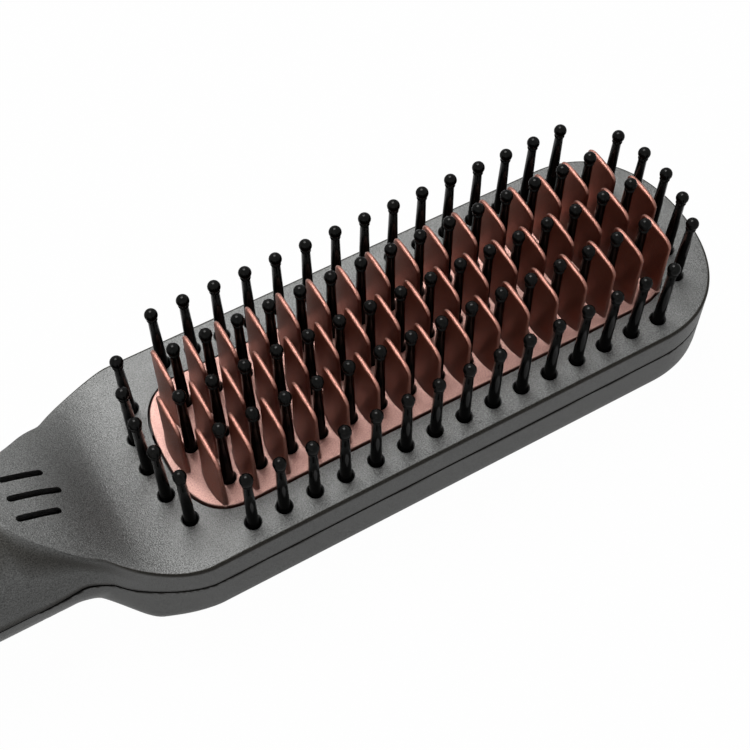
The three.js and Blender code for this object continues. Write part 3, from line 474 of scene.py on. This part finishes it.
def topZ(x):
    # The flat top, then a straight ramp, with a parabola between them.
    h = housing
    toRamp = h["rampFootX"] + h["rampBlend"] - x
    bend = np.clip(toRamp, 0, 2 * h["rampBlend"]) ** 2 / (4 * h["rampBlend"])
    straight = np.maximum(toRamp - 2 * h["rampBlend"], 0)
    return h["top"] + h["rampSlope"] * (bend + straight)


def roundness(x):
    # 0 on the head, 1 where the section is the handle's circle.
    h = housing
    return smooth((h["roundingStart"] - x) / h["roundingLength"])


def neckShare(x, rise):
    # Rises from 0 to 1 along the start of the rounding, and falls to 0 at the hollow's end.
    h = housing
    return smooth((h["roundingStart"] - x) / rise) * smooth((x - h["hollowEnd"]) / h["hollowFall"])


def crownAt(x, left):
    # The ramp's middle stands above its crests by a share of the height left to the handle's top.
    h = housing
    return h["crown"] * np.maximum(left, 0) * smooth((h["crownStart"] - x) / h["crownLength"])


def partingZ(x):
    # Level along the head, and up to the handle's axis along the neck.
    h = housing
    low = h["top"] - h["partingDepth"]
    return low + (h["axisZ"] - low) * smooth((h["partingRiseX"] - x) / h["partingRiseLength"])


def outlineAt(x, bow, inset, overhang):
    # Half width at x along the neck's curve, or a superellipse point at angle bow on the tip.
    h = housing
    length = h["neckStartX"] - h["neckEndX"]
    t = np.minimum((x + inset / 2 - h["neckEndX"] + overhang) / (length + overhang), 1)
    drawn = 1 - np.maximum(1 - t, 0) ** h["neckCurve"]
    share = np.minimum(np.where(t > -1, softMax(drawn, 0, h["neckSoft"]), 0), 1)
    straightY = h["handleR"] + (h["halfWidth"] - h["handleR"]) * share - inset
    power = 2 / h["squareness"]
    bowX = h["tipBowX"] + (h["tipX"] - h["tipBowX"] - inset) * np.sin(bow) ** power
    bowY = (h["halfWidth"] - inset) * np.maximum(np.cos(bow), 0) ** power
    isBow = bow > 0
    return np.where(isBow, bowX, x), np.where(isBow, bowY, straightY)


def outlineX(x, bow, inset):
    # x of the outline, at which a row takes its heights.
    return outlineAt(x, bow, inset, 0)[0]


def sectionPoint(x, bow, s, inset, topInset):
    # Point s of the half section: s 0 to 1 rounds the top edge, 1 to 2 runs down the side, 2 to 3
    # rounds the back edge. On the neck each point turns over to the handle's circle.
    h = housing
    depth = h["top"] - topInset - inset
    topR = max(h["topEdge"] - inset, h["leastEdge"])
    backR = h["backEdge"] - inset
    edge = np.clip(s, 0, 1) * np.pi / 2
    side = np.clip(s - 1, 0, 1)
    corner = np.clip(s - 2, 0, 1) * np.pi / 2
    drop = np.where(s < 1, topR * (1 - np.cos(edge)), topR + side * (depth - topR - backR))
    drop = np.where(s > 2, depth - backR + backR * np.sin(corner), drop)
    tuck = np.where(s < 1, topR * (1 - np.sin(edge)), -side * h["draft"])
    tuck = np.where(s > 2, backR * (1 - np.cos(corner)) - h["draft"], tuck)
    turn = np.where(s > 2, h["sideTurn"] + h["cornerTurn"] * (s - 2), side * h["sideTurn"])
    spineX = outlineX(x, bow, inset)
    blend = np.where(bow > 0, 0, roundness(spineX))
    z = topZ(spineX) - topInset
    roundR = h["handleR"] - inset
    crease = np.arccos(np.minimum((z - h["axisZ"]) / roundR, 1))
    overhang = h["overhang"] * smooth(turn / h["overhangSpread"] - h["overhangDelay"])
    px, py = outlineAt(x, bow, inset + tuck * (1 - blend), overhang)
    angle = crease + (np.pi - crease) * turn
    headZ = z - drop * (z - inset) / depth
    turnIn, turnOut = h["hollowTurns"]
    hollow = h["hollow"] * neckShare(spineX, h["hollowRise"])
    hollow = hollow * smooth(turn / turnIn) * smooth((turnOut - turn) / h["hollowTurnFall"])
    roundY = (py - hollow) * np.sin(angle)
    roundZ = np.minimum(h["axisZ"] + roundR * np.cos(angle), z)
    return px, py + (roundY - py) * blend, headZ + (roundZ - headZ) * blend


def partingShare(x, bow, inset, topInset, offset):
    # The s at which the section crosses the parting line, found by halving.
    low, high = (np.full(x.shape, s) for s in housing["partingSearch"])
    for _ in range(housing["halvings"]):
        middle = (low + high) / 2
        above = sectionPoint(x, bow, middle, inset, topInset)[2] > partingZ(x) + offset
        low, high = np.where(above, middle, low), np.where(above, high, middle)
    return (low + high) / 2


def stations():
    # x and bow angle of each row, closer together along the neck.
    h = housing
    rampTopX = h["rampFootX"] - (h["handleR"] - h["top"] + h["axisZ"]) / h["rampSlope"]
    denseFrom, denseTo = rampTopX - h["rowsBeforeRamp"], h["neckStartX"] + h["rowsPastNeck"]
    bow = np.linspace(0, np.pi / 2, h["bowRows"] + 1)
    bow[0] = 1e-9  # just past 0, which means the straight part
    x = np.concatenate([
        np.linspace(h["endX"], denseFrom, h["handleRows"], endpoint=False),
        np.linspace(denseFrom, denseTo, h["neckRows"], endpoint=False),
        np.linspace(denseTo, h["tipBowX"], h["headRows"], endpoint=False),
        np.full(len(bow), h["tipBowX"]),
    ])
    return x[:, None], np.concatenate([np.zeros(len(x) - len(bow)), bow])[:, None]


def topSpine(x, bow, inset, topInset):
    # Columns from the middle line out to the first point of the section, crowned as 1 - t^2.
    h = housing
    px, py, pz = sectionPoint(x, bow, np.zeros_like(x), inset, topInset)
    spineX = outlineX(x, bow, inset)
    middleX = np.minimum(spineX, h["tipBowX"])
    t = np.linspace(0, 1, h["flatCols"], endpoint=False)[None]
    limit = h["axisZ"] + h["handleR"] - inset
    middleZ = np.minimum(topZ(spineX) - topInset, limit)
    crown = np.where(bow > 0, 0, crownAt(x, limit - middleZ)) * (1 - t ** 2)
    return middleX + (px - middleX) * t, py * t, middleZ + (pz - middleZ) * t + crown


def backSpine(x, bow, inset, topInset):
    # Columns from the middle of the back out to the last point of the section.
    h = housing
    px, py, pz = sectionPoint(x, bow, np.full_like(x, 3.0), inset, topInset)
    spineX = outlineX(x, bow, inset)
    middleX = np.minimum(spineX, h["tipBowX"])
    blend = np.where(bow > 0, 0, roundness(spineX))
    roundR = h["handleR"] - inset
    middleZ = inset + blend * (h["axisZ"] - roundR - inset)
    t = np.linspace(0, 1, h["flatCols"] + 1)[None, :0:-1]
    turn = np.pi * (h["sideTurn"] + h["cornerTurn"] + h["backTurn"] * t)
    flatX, flatY, flatZ = px + (middleX - px) * t, py * (1 - t), pz + (middleZ - pz) * t
    roundY = roundR * np.sin(turn)
    roundZ = h["axisZ"] + roundR * np.cos(turn)
    return flatX, flatY + (roundY - flatY) * blend, flatZ + (roundZ - flatZ) * blend


def faceColumns(front, x, bow, inset, topInset, end):
    # One face of a shell, from its middle line to the s at which it ends. The front one rounds its
    # edge and runs down the side, and the back one rounds the corner and runs up.
    h = housing
    t = np.linspace(0, 1, h["sideCols"] + 1)[None, :-1]
    if front:
        edge = np.linspace(0, 1, h["edgeCols"] + 1)[None, :-1]
        stretches = [topSpine(x, bow, inset, topInset)]
        shares = [edge, 1 + (end - 1) * t]
    else:
        corner = np.linspace(1, 0, h["backCols"] + 1)[None, :-1]
        last, first = np.maximum(end, 2), np.minimum(end, 2)
        stretches = [backSpine(x, bow, inset, topInset)]
        shares = [last + (3 - last) * corner, first + (last - first) * t[:, ::-1]]
    stretches += [sectionPoint(x, bow, s, inset, topInset) for s in shares]
    return np.concatenate([np.stack(np.broadcast_arrays(*p), -1) for p in stretches], 1)


def lipColumns(x, bow, share, side):
    # The parting edge: the outer face turns in round a small radius, side is 1 above the line.
    h = housing
    outer = np.stack(sectionPoint(x, bow, share, 0, 0), -1)
    inward = np.stack(sectionPoint(x, bow, share, h["wall"], h["wall"]), -1) - outer
    inward[..., 2] = 0
    inward /= np.maximum(np.linalg.norm(inward, axis=-1, keepdims=True), 1e-9)
    a = quarterTurn(h["lipSteps"])[None, :, None]
    down = np.array([0, 0, -side])
    return outer + h["lip"] * (inward * (1 - np.cos(a)) + down * np.sin(a))


def shadeMarks(x, bow, shape, outerCols, lipCols, front):
    # How far the painted shade colour takes over: painted shade on the parting lip, a darker line on the
    # rounded top edge until the neck, and painted shade below the neck's crest, where it fades out above and
    # below.
    h = housing
    shadeMark = np.zeros(shape)
    shadeMark[:, outerCols:outerCols + lipCols + 1] = h["partingShade"]
    if front:
        crest = h["flatCols"] + h["edgeCols"]
        shadeMark[:, h["flatCols"] + 1:crest + 1] = h["edgeMark"] * (1 - roundness(outlineX(x, bow, 0)))
        below = np.sin(np.linspace(0, np.pi, h["neckShadeCols"] + 2))[1:-1]
        shadeMark[:, crest + 1:crest + len(below) + 1] = h["neckShade"] * neckShare(x, h["neckShadeRise"]) * below
    return shadeMark


def shellGrid(front):
    # One grid a half: outer face, parting edge, then the inner face back to the middle.
    h = housing
    x, bow = stations()
    side = 1 if front else -1
    offset = side * h["gap"] / 2
    share = partingShare(x, bow, 0, 0, offset + side * h["lip"])
    innerShare = partingShare(x, bow, h["wall"], h["topWall"], offset)
    outer = faceColumns(front, x, bow, 0, 0, share)
    lip = lipColumns(x, bow, share, side)
    innerEnd = np.stack(sectionPoint(x, bow, innerShare, h["wall"], h["topWall"]), -1)
    inner = faceColumns(front, x, bow, h["wall"], h["topWall"], innerShare)
    grid = np.concatenate([outer, lip, innerEnd, inner[:, ::-1]], 1)
    shadeMark = shadeMarks(x, bow, grid.shape[:2], outer.shape[1], lip.shape[1], front)
    return grid, outer.shape[1], shadeMark


def shellPiece(name, front):
    # The grid and its mirror image, closed across the handle's open end between outer and inner face.
    grid, outerCols, shadeMark = shellGrid(front)
    rows, cols = grid.shape[:2]
    last = cols - 1
    faces = gridFaces(rows, cols)
    faces += [[k, k + 1, last - k - 1, last - k] for k in range(outerCols - 1)]
    faces.append(list(range(outerCols - 1, last - outerCols + 2)))
    points = grid.reshape(-1, 3)
    mirrored = points * [1, -1, 1]
    obj = makeMesh(name, *together((points, faces), (mirrored, [f[::-1] for f in faces])))
    # The edge attribute holds the painted shade and the top edge's darker line.
    edge = obj.data.attributes.new("edge", "FLOAT", "POINT")
    edge.data.foreach_set("value", np.tile(shadeMark.ravel(), 2).astype(np.float32))
    weld(obj)
    return obj


cutterClear = 3  # how far a hole's cutter stands out above the surface


def holeTool(s, places, surface):
    # Round cutters whose mouths widen by the chamfer over the same height.
    r, chamfer = s["holeR"], s["chamfer"]
    bore = [(r, surface - s["holeDepth"]), (r, surface - chamfer)]
    mouth = [(r + chamfer, surface), (r + chamfer, surface + cutterClear)]
    return makeTool(copies(*turned(bore + mouth, s["holeSides"]), places))


plate = {
    "halfLength": 54.1, "halfWidth": 15.45, "bow": 12, "squareness": 2.8, "base": 18.0, "face": 20.25,
    "rim": 0.25, "rimSteps": 5, "outlineSteps": 28,
    "gap": 0.42, "openingCut": (17, 22),
    "holeR": 1.5, "holeDepth": 3.25, "holeSides": 28, "chamfer": 0.16, "creaseAngle": 38,
}


def plateOutline(grow):
    # A rectangle whose ends bow out as superellipses.
    p = plate
    a = quarterTurn(p["outlineSteps"])
    power = 2 / p["squareness"]
    x = p["halfLength"] - p["bow"] + (p["bow"] + grow) * np.sin(a) ** power
    y = (p["halfWidth"] + grow) * np.maximum(np.cos(a), 0) ** power
    quarter = np.stack([x, y], 1)
    rightHalf = np.concatenate([quarter, quarter[::-1][1:] * [1, -1]])
    ring = np.concatenate([rightHalf, rightHalf[::-1] * [-1, 1]])
    return ring[::-1]


slots = {"width": 1.35, "gap": 4.3, "end": -73.8, "length": 9.3, "stagger": 1.6, "cut": (15, 45)}
buttons = {
    "heat_up": {"x": -117.5, "r": 4.5},
    "heat_down": {"x": -132.5, "r": 4.5},
    "power": {"x": -147.5, "r": 5.5},
}
lampHole = {"x": -125, "r": 1.6}
wellCut = (26, 40)
longScrews = {
    "places": [(-93.5, 0), (-183, 0)], "seat": 6.8, "headR": 2.9, "shankR": 1.5, "cut": (-1, 19),
    "pillar": (3.4, 17.95, 32.8), "column": (4.2, 2.6, 17.65),  # radius, foot and top
}
carrierScrews = {"x": 52.5, "y": 17.2, "boss": (2.4, 15.9, 18.9)}
boardScrews = {"places": [(-107.5, -6.5), (-169.5, 6.5)], "post": (2.2, 23.1, 31.2)}


def studTool():
    # Bosses for the plate carrier, posts for the control board and pillars for the long screws.
    corners = [(a * carrierScrews["x"], b * carrierScrews["y"]) for a in (1, -1) for b in (1, -1)]
    return makeTool(
        rods(carrierScrews["boss"], 24, corners),
        rods(boardScrews["post"], 24, boardScrews["places"]),
        rods(longScrews["pillar"], 32, longScrews["places"]),
    )


def slotTool():
    # Three slots side by side, the outer ones shorter at the end towards the head.
    shapes = []
    for k in (-1, 0, 1):
        x1 = slots["end"] - abs(k) * slots["stagger"]
        x0 = slots["end"] - slots["length"]
        shapes.append(stadium(x0, x1, k * slots["gap"], slots["width"] / 2, *slots["cut"]))
    return makeTool(*shapes)


def wellTool():
    # Round openings for the buttons and the lamp's lens, wider than each by the gap.
    gap = housing["gap"]
    shapes = [rods((b["r"] + gap, *wellCut), 64, [(b["x"], 0)]) for b in buttons.values()]
    return makeTool(*shapes, rods((lampHole["r"] + gap, *wellCut), 32, [(lampHole["x"], 0)]))


def makeFront():
    h = housing
    lid = shellPiece("front_shell", True)
    holes = holeTool(h, np.concatenate(list(outerRows.values())), h["top"])
    opening = makeTool(prism(plateOutline(plate["gap"]), *plate["openingCut"]))
    carve(lid, [studTool()], "UNION")
    carve(lid, [holes, opening, slotTool(), wellTool()])
    shade(lid, h["creaseAngle"])
    finishPiece(lid, "brush", "housing_paint", "front_housing")


def makeBack():
    # Columns for the long screws, each with a sunk seat for the head and a bore for the shank.
    s = longScrews
    bottom, top = s["cut"]
    sink = [(s["headR"], bottom), (s["headR"], s["seat"]), (s["shankR"], s["seat"]), (s["shankR"], top)]
    tray = shellPiece("back_shell", False)
    carve(tray, [makeTool(rods(s["column"], 32, s["places"]))], "UNION")
    carve(tray, [makeTool(copies(*turned(sink, 40), s["places"]))])
    shade(tray, housing["creaseAngle"])
    finishPiece(tray, "brush", "housing_paint", "back_housing")


makeFront()
makeBack()
print("housing made")


# Heating plate

fin = {
    "root": 19.0, "shoulder": 33.7, "top": 35.9,
    "rootReach": 5.05, "shoulderReach": 4.75, "archSquareness": 3,
    "middle": ((19.0, 1.4), (33.5, 0.66), (35.9, 0.5)),  # half thickness at mid length, at each height
    "edge": ((19.0, 0.5), (35.9, 0.38)),  # half thickness where the rounded edge starts
    "edgeReach": 0.5, "crown": 0.4, "flareX": 0.12, "flareY": 0.2, "shift": 0.45,
    "faceCols": 5, "edgeCols": 4, "footRows": 3, "shaftRows": 4, "archRows": 10,
}


def finShape():
    # Section at each height: the faces bow as x = middle - (middle - edge) t^2 along y = t (reach - e),
    # and a quarter ellipse closes each end. The ends rise straight to the shoulder, where reach follows
    # a superellipse over the top, and a fillet widens the section at the plate's face.
    f = fin
    foot = plate["face"] + f["flareY"] * (1 - np.cos(quarterTurn(f["footRows"])))
    shaft = np.linspace(foot[-1], f["shoulder"], f["shaftRows"] + 1)[1:]
    rise = f["top"] - f["shoulder"]
    arch = f["shoulder"] + rise * np.sin(quarterTurn(f["archRows"]))[1:]
    z = np.concatenate([[f["root"]], foot, shaft, arch])
    over = np.clip((z - f["shoulder"]) / rise, 0, 1)
    crown = np.sqrt(1 - np.clip((z - f["top"]) / f["crown"] + 1, 0, 1) ** 2)
    fillet = 1 - np.sqrt(1 - (1 - np.clip((z - plate["face"]) / f["flareY"], 0, 1)) ** 2)
    reach = np.interp(z, [f["root"], f["shoulder"]], [f["rootReach"], f["shoulderReach"]])
    reach = reach * (1 - over ** f["archSquareness"]) ** (1 / f["archSquareness"]) + f["flareY"] * fillet
    middle, edge = (np.interp(z, *np.transpose(f[key])) * crown + f["flareX"] * fillet
                    for key in ("middle", "edge"))
    e = np.minimum(f["edgeReach"], reach / 2)
    t = np.linspace(0, 1, f["faceCols"] + 1)
    b = quarterTurn(f["edgeCols"])[1:]
    reach, middle, edge, e = (a[:, None] for a in (reach, middle, edge, e))
    x = np.concatenate([middle - (middle - edge) * t ** 2, edge * np.cos(b)], 1)
    y = np.concatenate([t * (reach - e), reach - e + e * np.sin(b)], 1)
    quarter = np.stack([x, y], -1)
    half = np.concatenate([quarter, quarter[:, -2::-1] * [-1, 1]], 1)
    ring = np.concatenate([half, -half[:, 1:-1]], 1)
    count = ring.shape[1]
    heights = np.broadcast_to(z[:, None, None], (len(z), count, 1))
    return np.concatenate([ring, heights], -1).reshape(-1, 3), tubeFaces(len(z), count, closeLast=False)


# Where the fins' painted reflection and shade and the plate walls' painted shade fall.
finShading = {
    "broadFrom": 0.55, "broadOver": 0.35,  # the normal's X at which a face begins to be a broad one
    "crest": 0.34, "upright": 0.14,  # what an upright edge adds to the crest's share
    "uprightBelow": 0.6, "uprightOver": 0.5,  # the normal's Z below which an edge is upright
    "plateSlack": 0.02, "footOver": 0.5, "wallFrom": 0.1, "wallOver": 0.3,  # distances from the plate's face
}


def paintFinShade(obj):
    # Painted reflection and shade: the attribute is at its full shade value on a fin's broad faces, less on
    # its edges and crest, 0 on the plate's face, and 1, the deepest painted shade, on the walls below it.
    m = finShading
    mesh = obj.data
    flat = np.empty(len(mesh.vertices) * 3, np.float32)
    mesh.vertices.foreach_get("co", flat)
    height = flat.reshape(-1, 3)[:, 2] / mm - plate["face"]
    mesh.vertex_normals.foreach_get("vector", flat)
    along, _, up = np.abs(flat.reshape(-1, 3)).T
    broad = shadeFull * smooth((along - m["broadFrom"]) / m["broadOver"])
    narrow = m["crest"] + m["upright"] * smooth((m["uprightBelow"] - up) / m["uprightOver"])
    share = np.maximum(broad, narrow)
    share = np.where(height > m["plateSlack"], share * smooth(height / m["footOver"]), 0)
    share = np.maximum(share, smooth((-height - m["wallFrom"]) / m["wallOver"]))
    mesh.attributes.new("face", "FLOAT", "POINT").data.foreach_set("value", share.astype(np.float32))


def makePlate():
    # The outline from the base up to the rounded rim, with the fins joined on and the holes cut.
    p = plate
    a = quarterTurn(p["rimSteps"])[::-1]
    drop = p["rim"] * (1 - np.cos(a))
    tuck = p["rim"] * (1 - np.sin(a))
    levels = [(p["base"], 0), *zip(p["face"] - drop, -tuck)]
    rings = [np.column_stack([plateOutline(grow), np.full(len(plateOutline(0)), z)]) for z, grow in levels]
    slab = makeMesh("heating_plate_finned", np.concatenate(rings), tubeFaces(len(rings), len(rings[0])))
    weld(slab)
    gap = field["rowGap"]
    finRows = np.concatenate([row(sideCount + 1, -gap), row(sideCount + 2, 0), row(sideCount + 1, gap)])
    fins = makeTool(copies(*finShape(), finRows + [fin["shift"], 0]))
    weld(fins)
    carve(slab, [fins], "UNION")
    carve(slab, [holeTool(p, np.concatenate(list(innerRows.values())), p["face"])])
    paintFinShade(slab)
    shade(slab, p["creaseAngle"])
    finishPiece(slab, "brush", "plate_coating", "heating_plate")


makePlate()
print("heating plate made")


# Bristles

bristle = {
    "ballR": 1.3, "ballFrom": -52, "ballSteps": 10, "baseR": 1.17, "topR": 0.88,
    "foot": ((1.17, -0.9), (1.36, -0.75), (1.36, -0.2), (1.26, -0.02), (1.22, 0.25), (1.15, 0.9)),
    "collar": ((0.88, -1.75), (1.0, -1.6), (1.06, -1.47), (1.02, -1.33), (0.86, -1.2)),
    "innerTip": 40.5, "outerTip": 38.3, "innerStrip": (12.3, 14.3), "outerStrip": (15.9, 17.7),
    "stripHalf": 1.9, "stripEndSteps": 8, "sunk": 0.5, "sides": 20, "creaseAngle": 50,
}


def bristleShape(tip, surface, root):
    # A turned stem of [radius, height]: its foot is given from the surface, and its collar from the
    # ball's centre. The ball is x = r cos a, z = r sin a.
    b = bristle
    ballZ = tip - b["ballR"]
    a = np.radians(np.linspace(b["ballFrom"], 90, b["ballSteps"] + 1))
    return turned(np.concatenate([
        [(b["baseR"], root)],
        np.add(b["foot"], (0, surface)),
        [((b["baseR"] + b["topR"]) / 2, (surface + ballZ) / 2)],
        np.add(b["collar"], (0, ballZ)),
        np.stack([b["ballR"] * np.cos(a), ballZ + b["ballR"] * np.sin(a)], 1),
    ]), b["sides"])


def stripShape(places, low, high):
    # A band along the row, with round ends, that follows its places.
    half = bristle["stripHalf"]
    p = np.asarray(places, float)
    way = np.gradient(p, axis=0)
    way /= np.linalg.norm(way, axis=1, keepdims=True)
    across = np.stack([-way[:, 1], way[:, 0]], 1) * half
    a = np.linspace(0, np.pi, bristle["stripEndSteps"] + 1)[1:-1, None]
    lastEnd = p[-1] - across[-1] * np.cos(a) + way[-1] * half * np.sin(a)
    firstEnd = p[0] + across[0] * np.cos(a) - way[0] * half * np.sin(a)
    return prism(np.concatenate([p - across, lastEnd, (p + across)[::-1], firstEnd]), low, high)


def makeBristles():
    b = bristle
    for prefix, rows, surface in (("inner", innerRows, plate["face"]), ("outer", outerRows, field["top"])):
        tip, strip = b[f"{prefix}Tip"], b[f"{prefix}Strip"]
        for name, places in rows.items():
            pins = copies(*bristleShape(tip, surface, strip[1] - b["sunk"]), places)
            comb = makeMesh(f"{prefix}_comb_{name}", *together(pins, stripShape(places, *strip)))
            weld(comb)
            shade(comb, b["creaseAngle"])
            finishPiece(comb, "brush", "bristle_black", f"{prefix}_bristles_{name}")


makeBristles()
print("bristles made")


# Handle fittings

buttonCap = {
    "flange": 1, "skirt": 2, "rounding": 0.7, "roundingSteps": 6,
    "dish": 0.25, "dishShare": 0.82, "dishSteps": 8, "sides": 64, "creaseAngle": 40,
}
lensCap = {"dome": 0.5, "domeSteps": 7, "sides": 32, "creaseAngle": 50}
endCap = {
    "face": ((8.8, 0), (11.5, 0), (13.7, 1.5), (15.4, 4.5)),  # radius, and distance from the outer face
    "shoulderGap": 0.14,  # the shoulder almost meets the shells
    "shoulderR": 16, "plugR": 13.7, "plugBoreR": 12.5, "seatR": 10.3, "seatDepth": 2, "boreR": 8.8,
    "rounding": 1.2, "roundingSteps": 5, "sides": 96, "creaseAngle": 32,
}
gland = {
    "boreR": 4, "noseR": 7, "bevel": 1, "collarR": 8.5, "collarFrom": 2, "collarTo": 1,
    "flangeR": 10, "flange": 1.7, "rounding": 0.5, "sides": 72, "creaseAngle": 32,
}
capInnerX = housing["endX"] - housing["gap"]  # the end wall's face inside the cap


def span(corners, axis):
    # The lowest and highest value of a CAD node's box along an axis, in millimetres.
    return [getattr(corner, axis) / mm for corner in corners]


def makeButtons():
    # A flanged cap with a rounded rim and a dish whose depth is d (1 - t^2)^2 at t of the radius.
    c = buttonCap
    for name, b in buttons.items():
        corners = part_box(f"{name}_button")
        z0, z1 = span(corners, "z")
        x0, x1 = span(corners, "x")
        r, lip = b["r"], (x1 - x0) / 2
        dishR = r * c["dishShare"]
        rim = rounded([(r, z0 + c["skirt"]), (r, z1), (dishR, z1)], c["rounding"], c["roundingSteps"])[1:-1]
        t = np.linspace(c["dishShare"], 0, c["dishSteps"] + 1)
        dish = np.stack([r * t, z1 - c["dish"] * (1 - t * t) ** 2], 1)
        flange = [(lip, z0), (lip, z0 + c["flange"]), (r, z0 + c["flange"])]
        profile = np.concatenate([flange, rim, dish])
        cap = makeMesh(f"{name}_cap", *copies(*turned(profile, c["sides"]), [(b["x"], 0)]))
        weld(cap)
        shade(cap, c["creaseAngle"])
        finishPiece(cap, name, "button_plastic", f"{name}_button")


def makeLens():
    # A short pin whose top is a quarter ellipse turned round.
    c = lensCap
    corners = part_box("indicator_lens")
    z0, z1 = span(corners, "z")
    x0, x1 = span(corners, "x")
    r = (x1 - x0) / 2
    a = quarterTurn(c["domeSteps"])
    dome = np.stack([r * np.cos(a), z1 - c["dome"] + c["dome"] * np.sin(a)], 1)
    profile = np.concatenate([[(r, z0)], dome])
    lens = makeMesh("indicator_lens_dome", *copies(*turned(profile, c["sides"]), [((x0 + x1) / 2, 0)]))
    weld(lens)
    shade(lens, c["creaseAngle"])
    finishPiece(lens, "brush", "lens_clear", "indicator_lens")


def turnedPiece(name, body, profile, s, node):
    # A profile of [radius, x] turned about the handle's axis.
    obj = makeMesh(name, *alongX(*turned(profile, s["sides"]), housing["axisZ"]))
    weld(obj)
    shade(obj, s["creaseAngle"])
    finishPiece(obj, body, "handle_trim", node)


def makeEndCap():
    # The rounded outside up to the shoulder, then the plug in the handle and the stepped bore.
    c = endCap
    outerX, plugX = span(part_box("end_cap"), "x")
    shoulderX = housing["endX"] - c["shoulderGap"]
    seatX = capInnerX - c["seatDepth"]
    face = [(r, outerX + distance) for r, distance in c["face"]]
    shoulder = [(c["shoulderR"], shoulderX), (c["plugR"], shoulderX)]
    outside = rounded([*face, *shoulder], c["rounding"], c["roundingSteps"])
    inside = [
        (c["plugR"], plugX), (c["plugBoreR"], plugX), (c["plugBoreR"], capInnerX), (c["seatR"], capInnerX),
        (c["seatR"], seatX), (c["boreR"], seatX), (c["boreR"], outerX),
    ]
    turnedPiece("end_cap_turned", "brush", np.concatenate([outside, inside]), c, "end_cap")


def makeGland():
    # The bevelled nose and the collar in the cap's bore, then the flange behind it and the tail.
    g = gland
    noseX, tailX = span(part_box("swivel_gland"), "x")
    outerX = span(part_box("end_cap"), "x")[0]
    flangeX = capInnerX - g["flange"]
    collarFrom, collarTo = outerX - g["collarFrom"], outerX - g["collarTo"]
    nose = [(g["boreR"], noseX), (g["noseR"] - g["bevel"], noseX), (g["noseR"], noseX + g["bevel"])]
    collar = [(g["noseR"], collarFrom), (g["collarR"], collarTo), (g["collarR"], flangeX)]
    inside = [
        (g["flangeR"], flangeX), (g["flangeR"], capInnerX), (g["noseR"], capInnerX), (g["noseR"], tailX),
        (g["boreR"], tailX), (g["boreR"], noseX),
    ]
    outside = rounded([*nose, *collar], g["rounding"])
    turnedPiece("swivel_gland_turned", "swivel", np.concatenate([outside, inside]), g, "swivel_gland")


makeButtons()
makeLens()
makeEndCap()
makeGland()
print("handle fittings made")


# CAD nodes that stay

def dressNodes():
    slotOf = {part["node"]: part["material_slot"] for part in frame["record"]["subparts"]}
    for name, obj in frame["nodes"].items():
        obj.data.materials.clear()
        obj.data.materials.append(looks[slotOf[name]])


dressNodes()


# Studio

studio = {
    "world": 0.18,
    "floor": 0.40, "floorRoughness": 0.9, "floorGlow": 0.985, "floorHalf": 3000, "floorZ": -0.02,
    "lamps": {
        "soft_box_top": {"place": (0.02, 0.46, 1.0), "size": 0.6, "power": 16.5},
        "soft_box_front": {"place": (-0.8, -0.9, 0.6), "size": 0.8, "power": 0.7},
        "soft_box_side": {"place": (0.3, 1.1, 0.5), "size": 0.7, "power": 1.5},
    },
}


def seenShare(tree):
    # 1 for camera, glossy and transmission rays, which show the background, and 0 for the rest.
    rays = addNode(tree, "ShaderNodeLightPath").outputs
    share = rays["Is Camera Ray"]
    for kind in ("Is Glossy Ray", "Is Transmission Ray"):
        share = addNode(tree, "ShaderNodeMath", {0: share, 1: rays[kind]}, operation="MAXIMUM").outputs[0]
    return share


def makeWorld(s):
    world = bpy.data.worlds.new("studio")
    bpy.context.scene.world = world
    world.use_nodes = True
    tree = world.node_tree
    tree.nodes.clear()
    levels = {"Value": seenShare(tree), "To Min": s["world"], "To Max": 1.0}
    strength = addNode(tree, "ShaderNodeMapRange", levels).outputs["Result"]
    sky = addNode(tree, "ShaderNodeBackground", {"Color": (1, 1, 1, 1), "Strength": strength})
    addNode(tree, "ShaderNodeOutputWorld", {"Surface": sky.outputs["Background"]})


def makeFloor(s):
    half, z = s["floorHalf"], s["floorZ"]
    corners = [(-half, -half, z), (half, -half, z), (half, half, z), (-half, half, z)]
    floor = makeMesh("floor", corners, [range(4)])
    material, tree, shader = nodeTree("floor")
    shader.inputs["Base Color"].default_value = (s["floor"], s["floor"], s["floor"], 1)
    shader.inputs["Roughness"].default_value = s["floorRoughness"]
    shader.inputs["Specular IOR Level"].default_value = 0
    glow = addNode(tree, "ShaderNodeEmission", {"Color": (1, 1, 1, 1), "Strength": 1.0}).outputs[0]
    factors = {0: seenShare(tree), 1: s["floorGlow"]}
    share = addNode(tree, "ShaderNodeMath", factors, operation="MULTIPLY").outputs[0]
    mix = addNode(tree, "ShaderNodeMixShader", {0: share, 1: shader.outputs[0], 2: glow})
    tree.links.new(mix.outputs[0], tree.nodes["Material Output"].inputs["Surface"])
    floor.data.materials.append(material)


def addLamps(lamps):
    # Square lamps that face the origin.
    for name, lamp in lamps.items():
        data = bpy.data.lights.new(name, "AREA")
        data.size = lamp["size"]
        data.energy = lamp["power"]
        obj = bpy.data.objects.new(name, data)
        obj.location = lamp["place"]
        obj.rotation_mode = "QUATERNION"
        obj.rotation_quaternion = Vector(lamp["place"]).to_track_quat("Z", "Y")
        bpy.context.scene.collection.objects.link(obj)


makeWorld(studio)
makeFloor(studio)
addLamps(studio["lamps"])
print("studio made")

bpy.context.scene.view_settings.view_transform = "Standard"
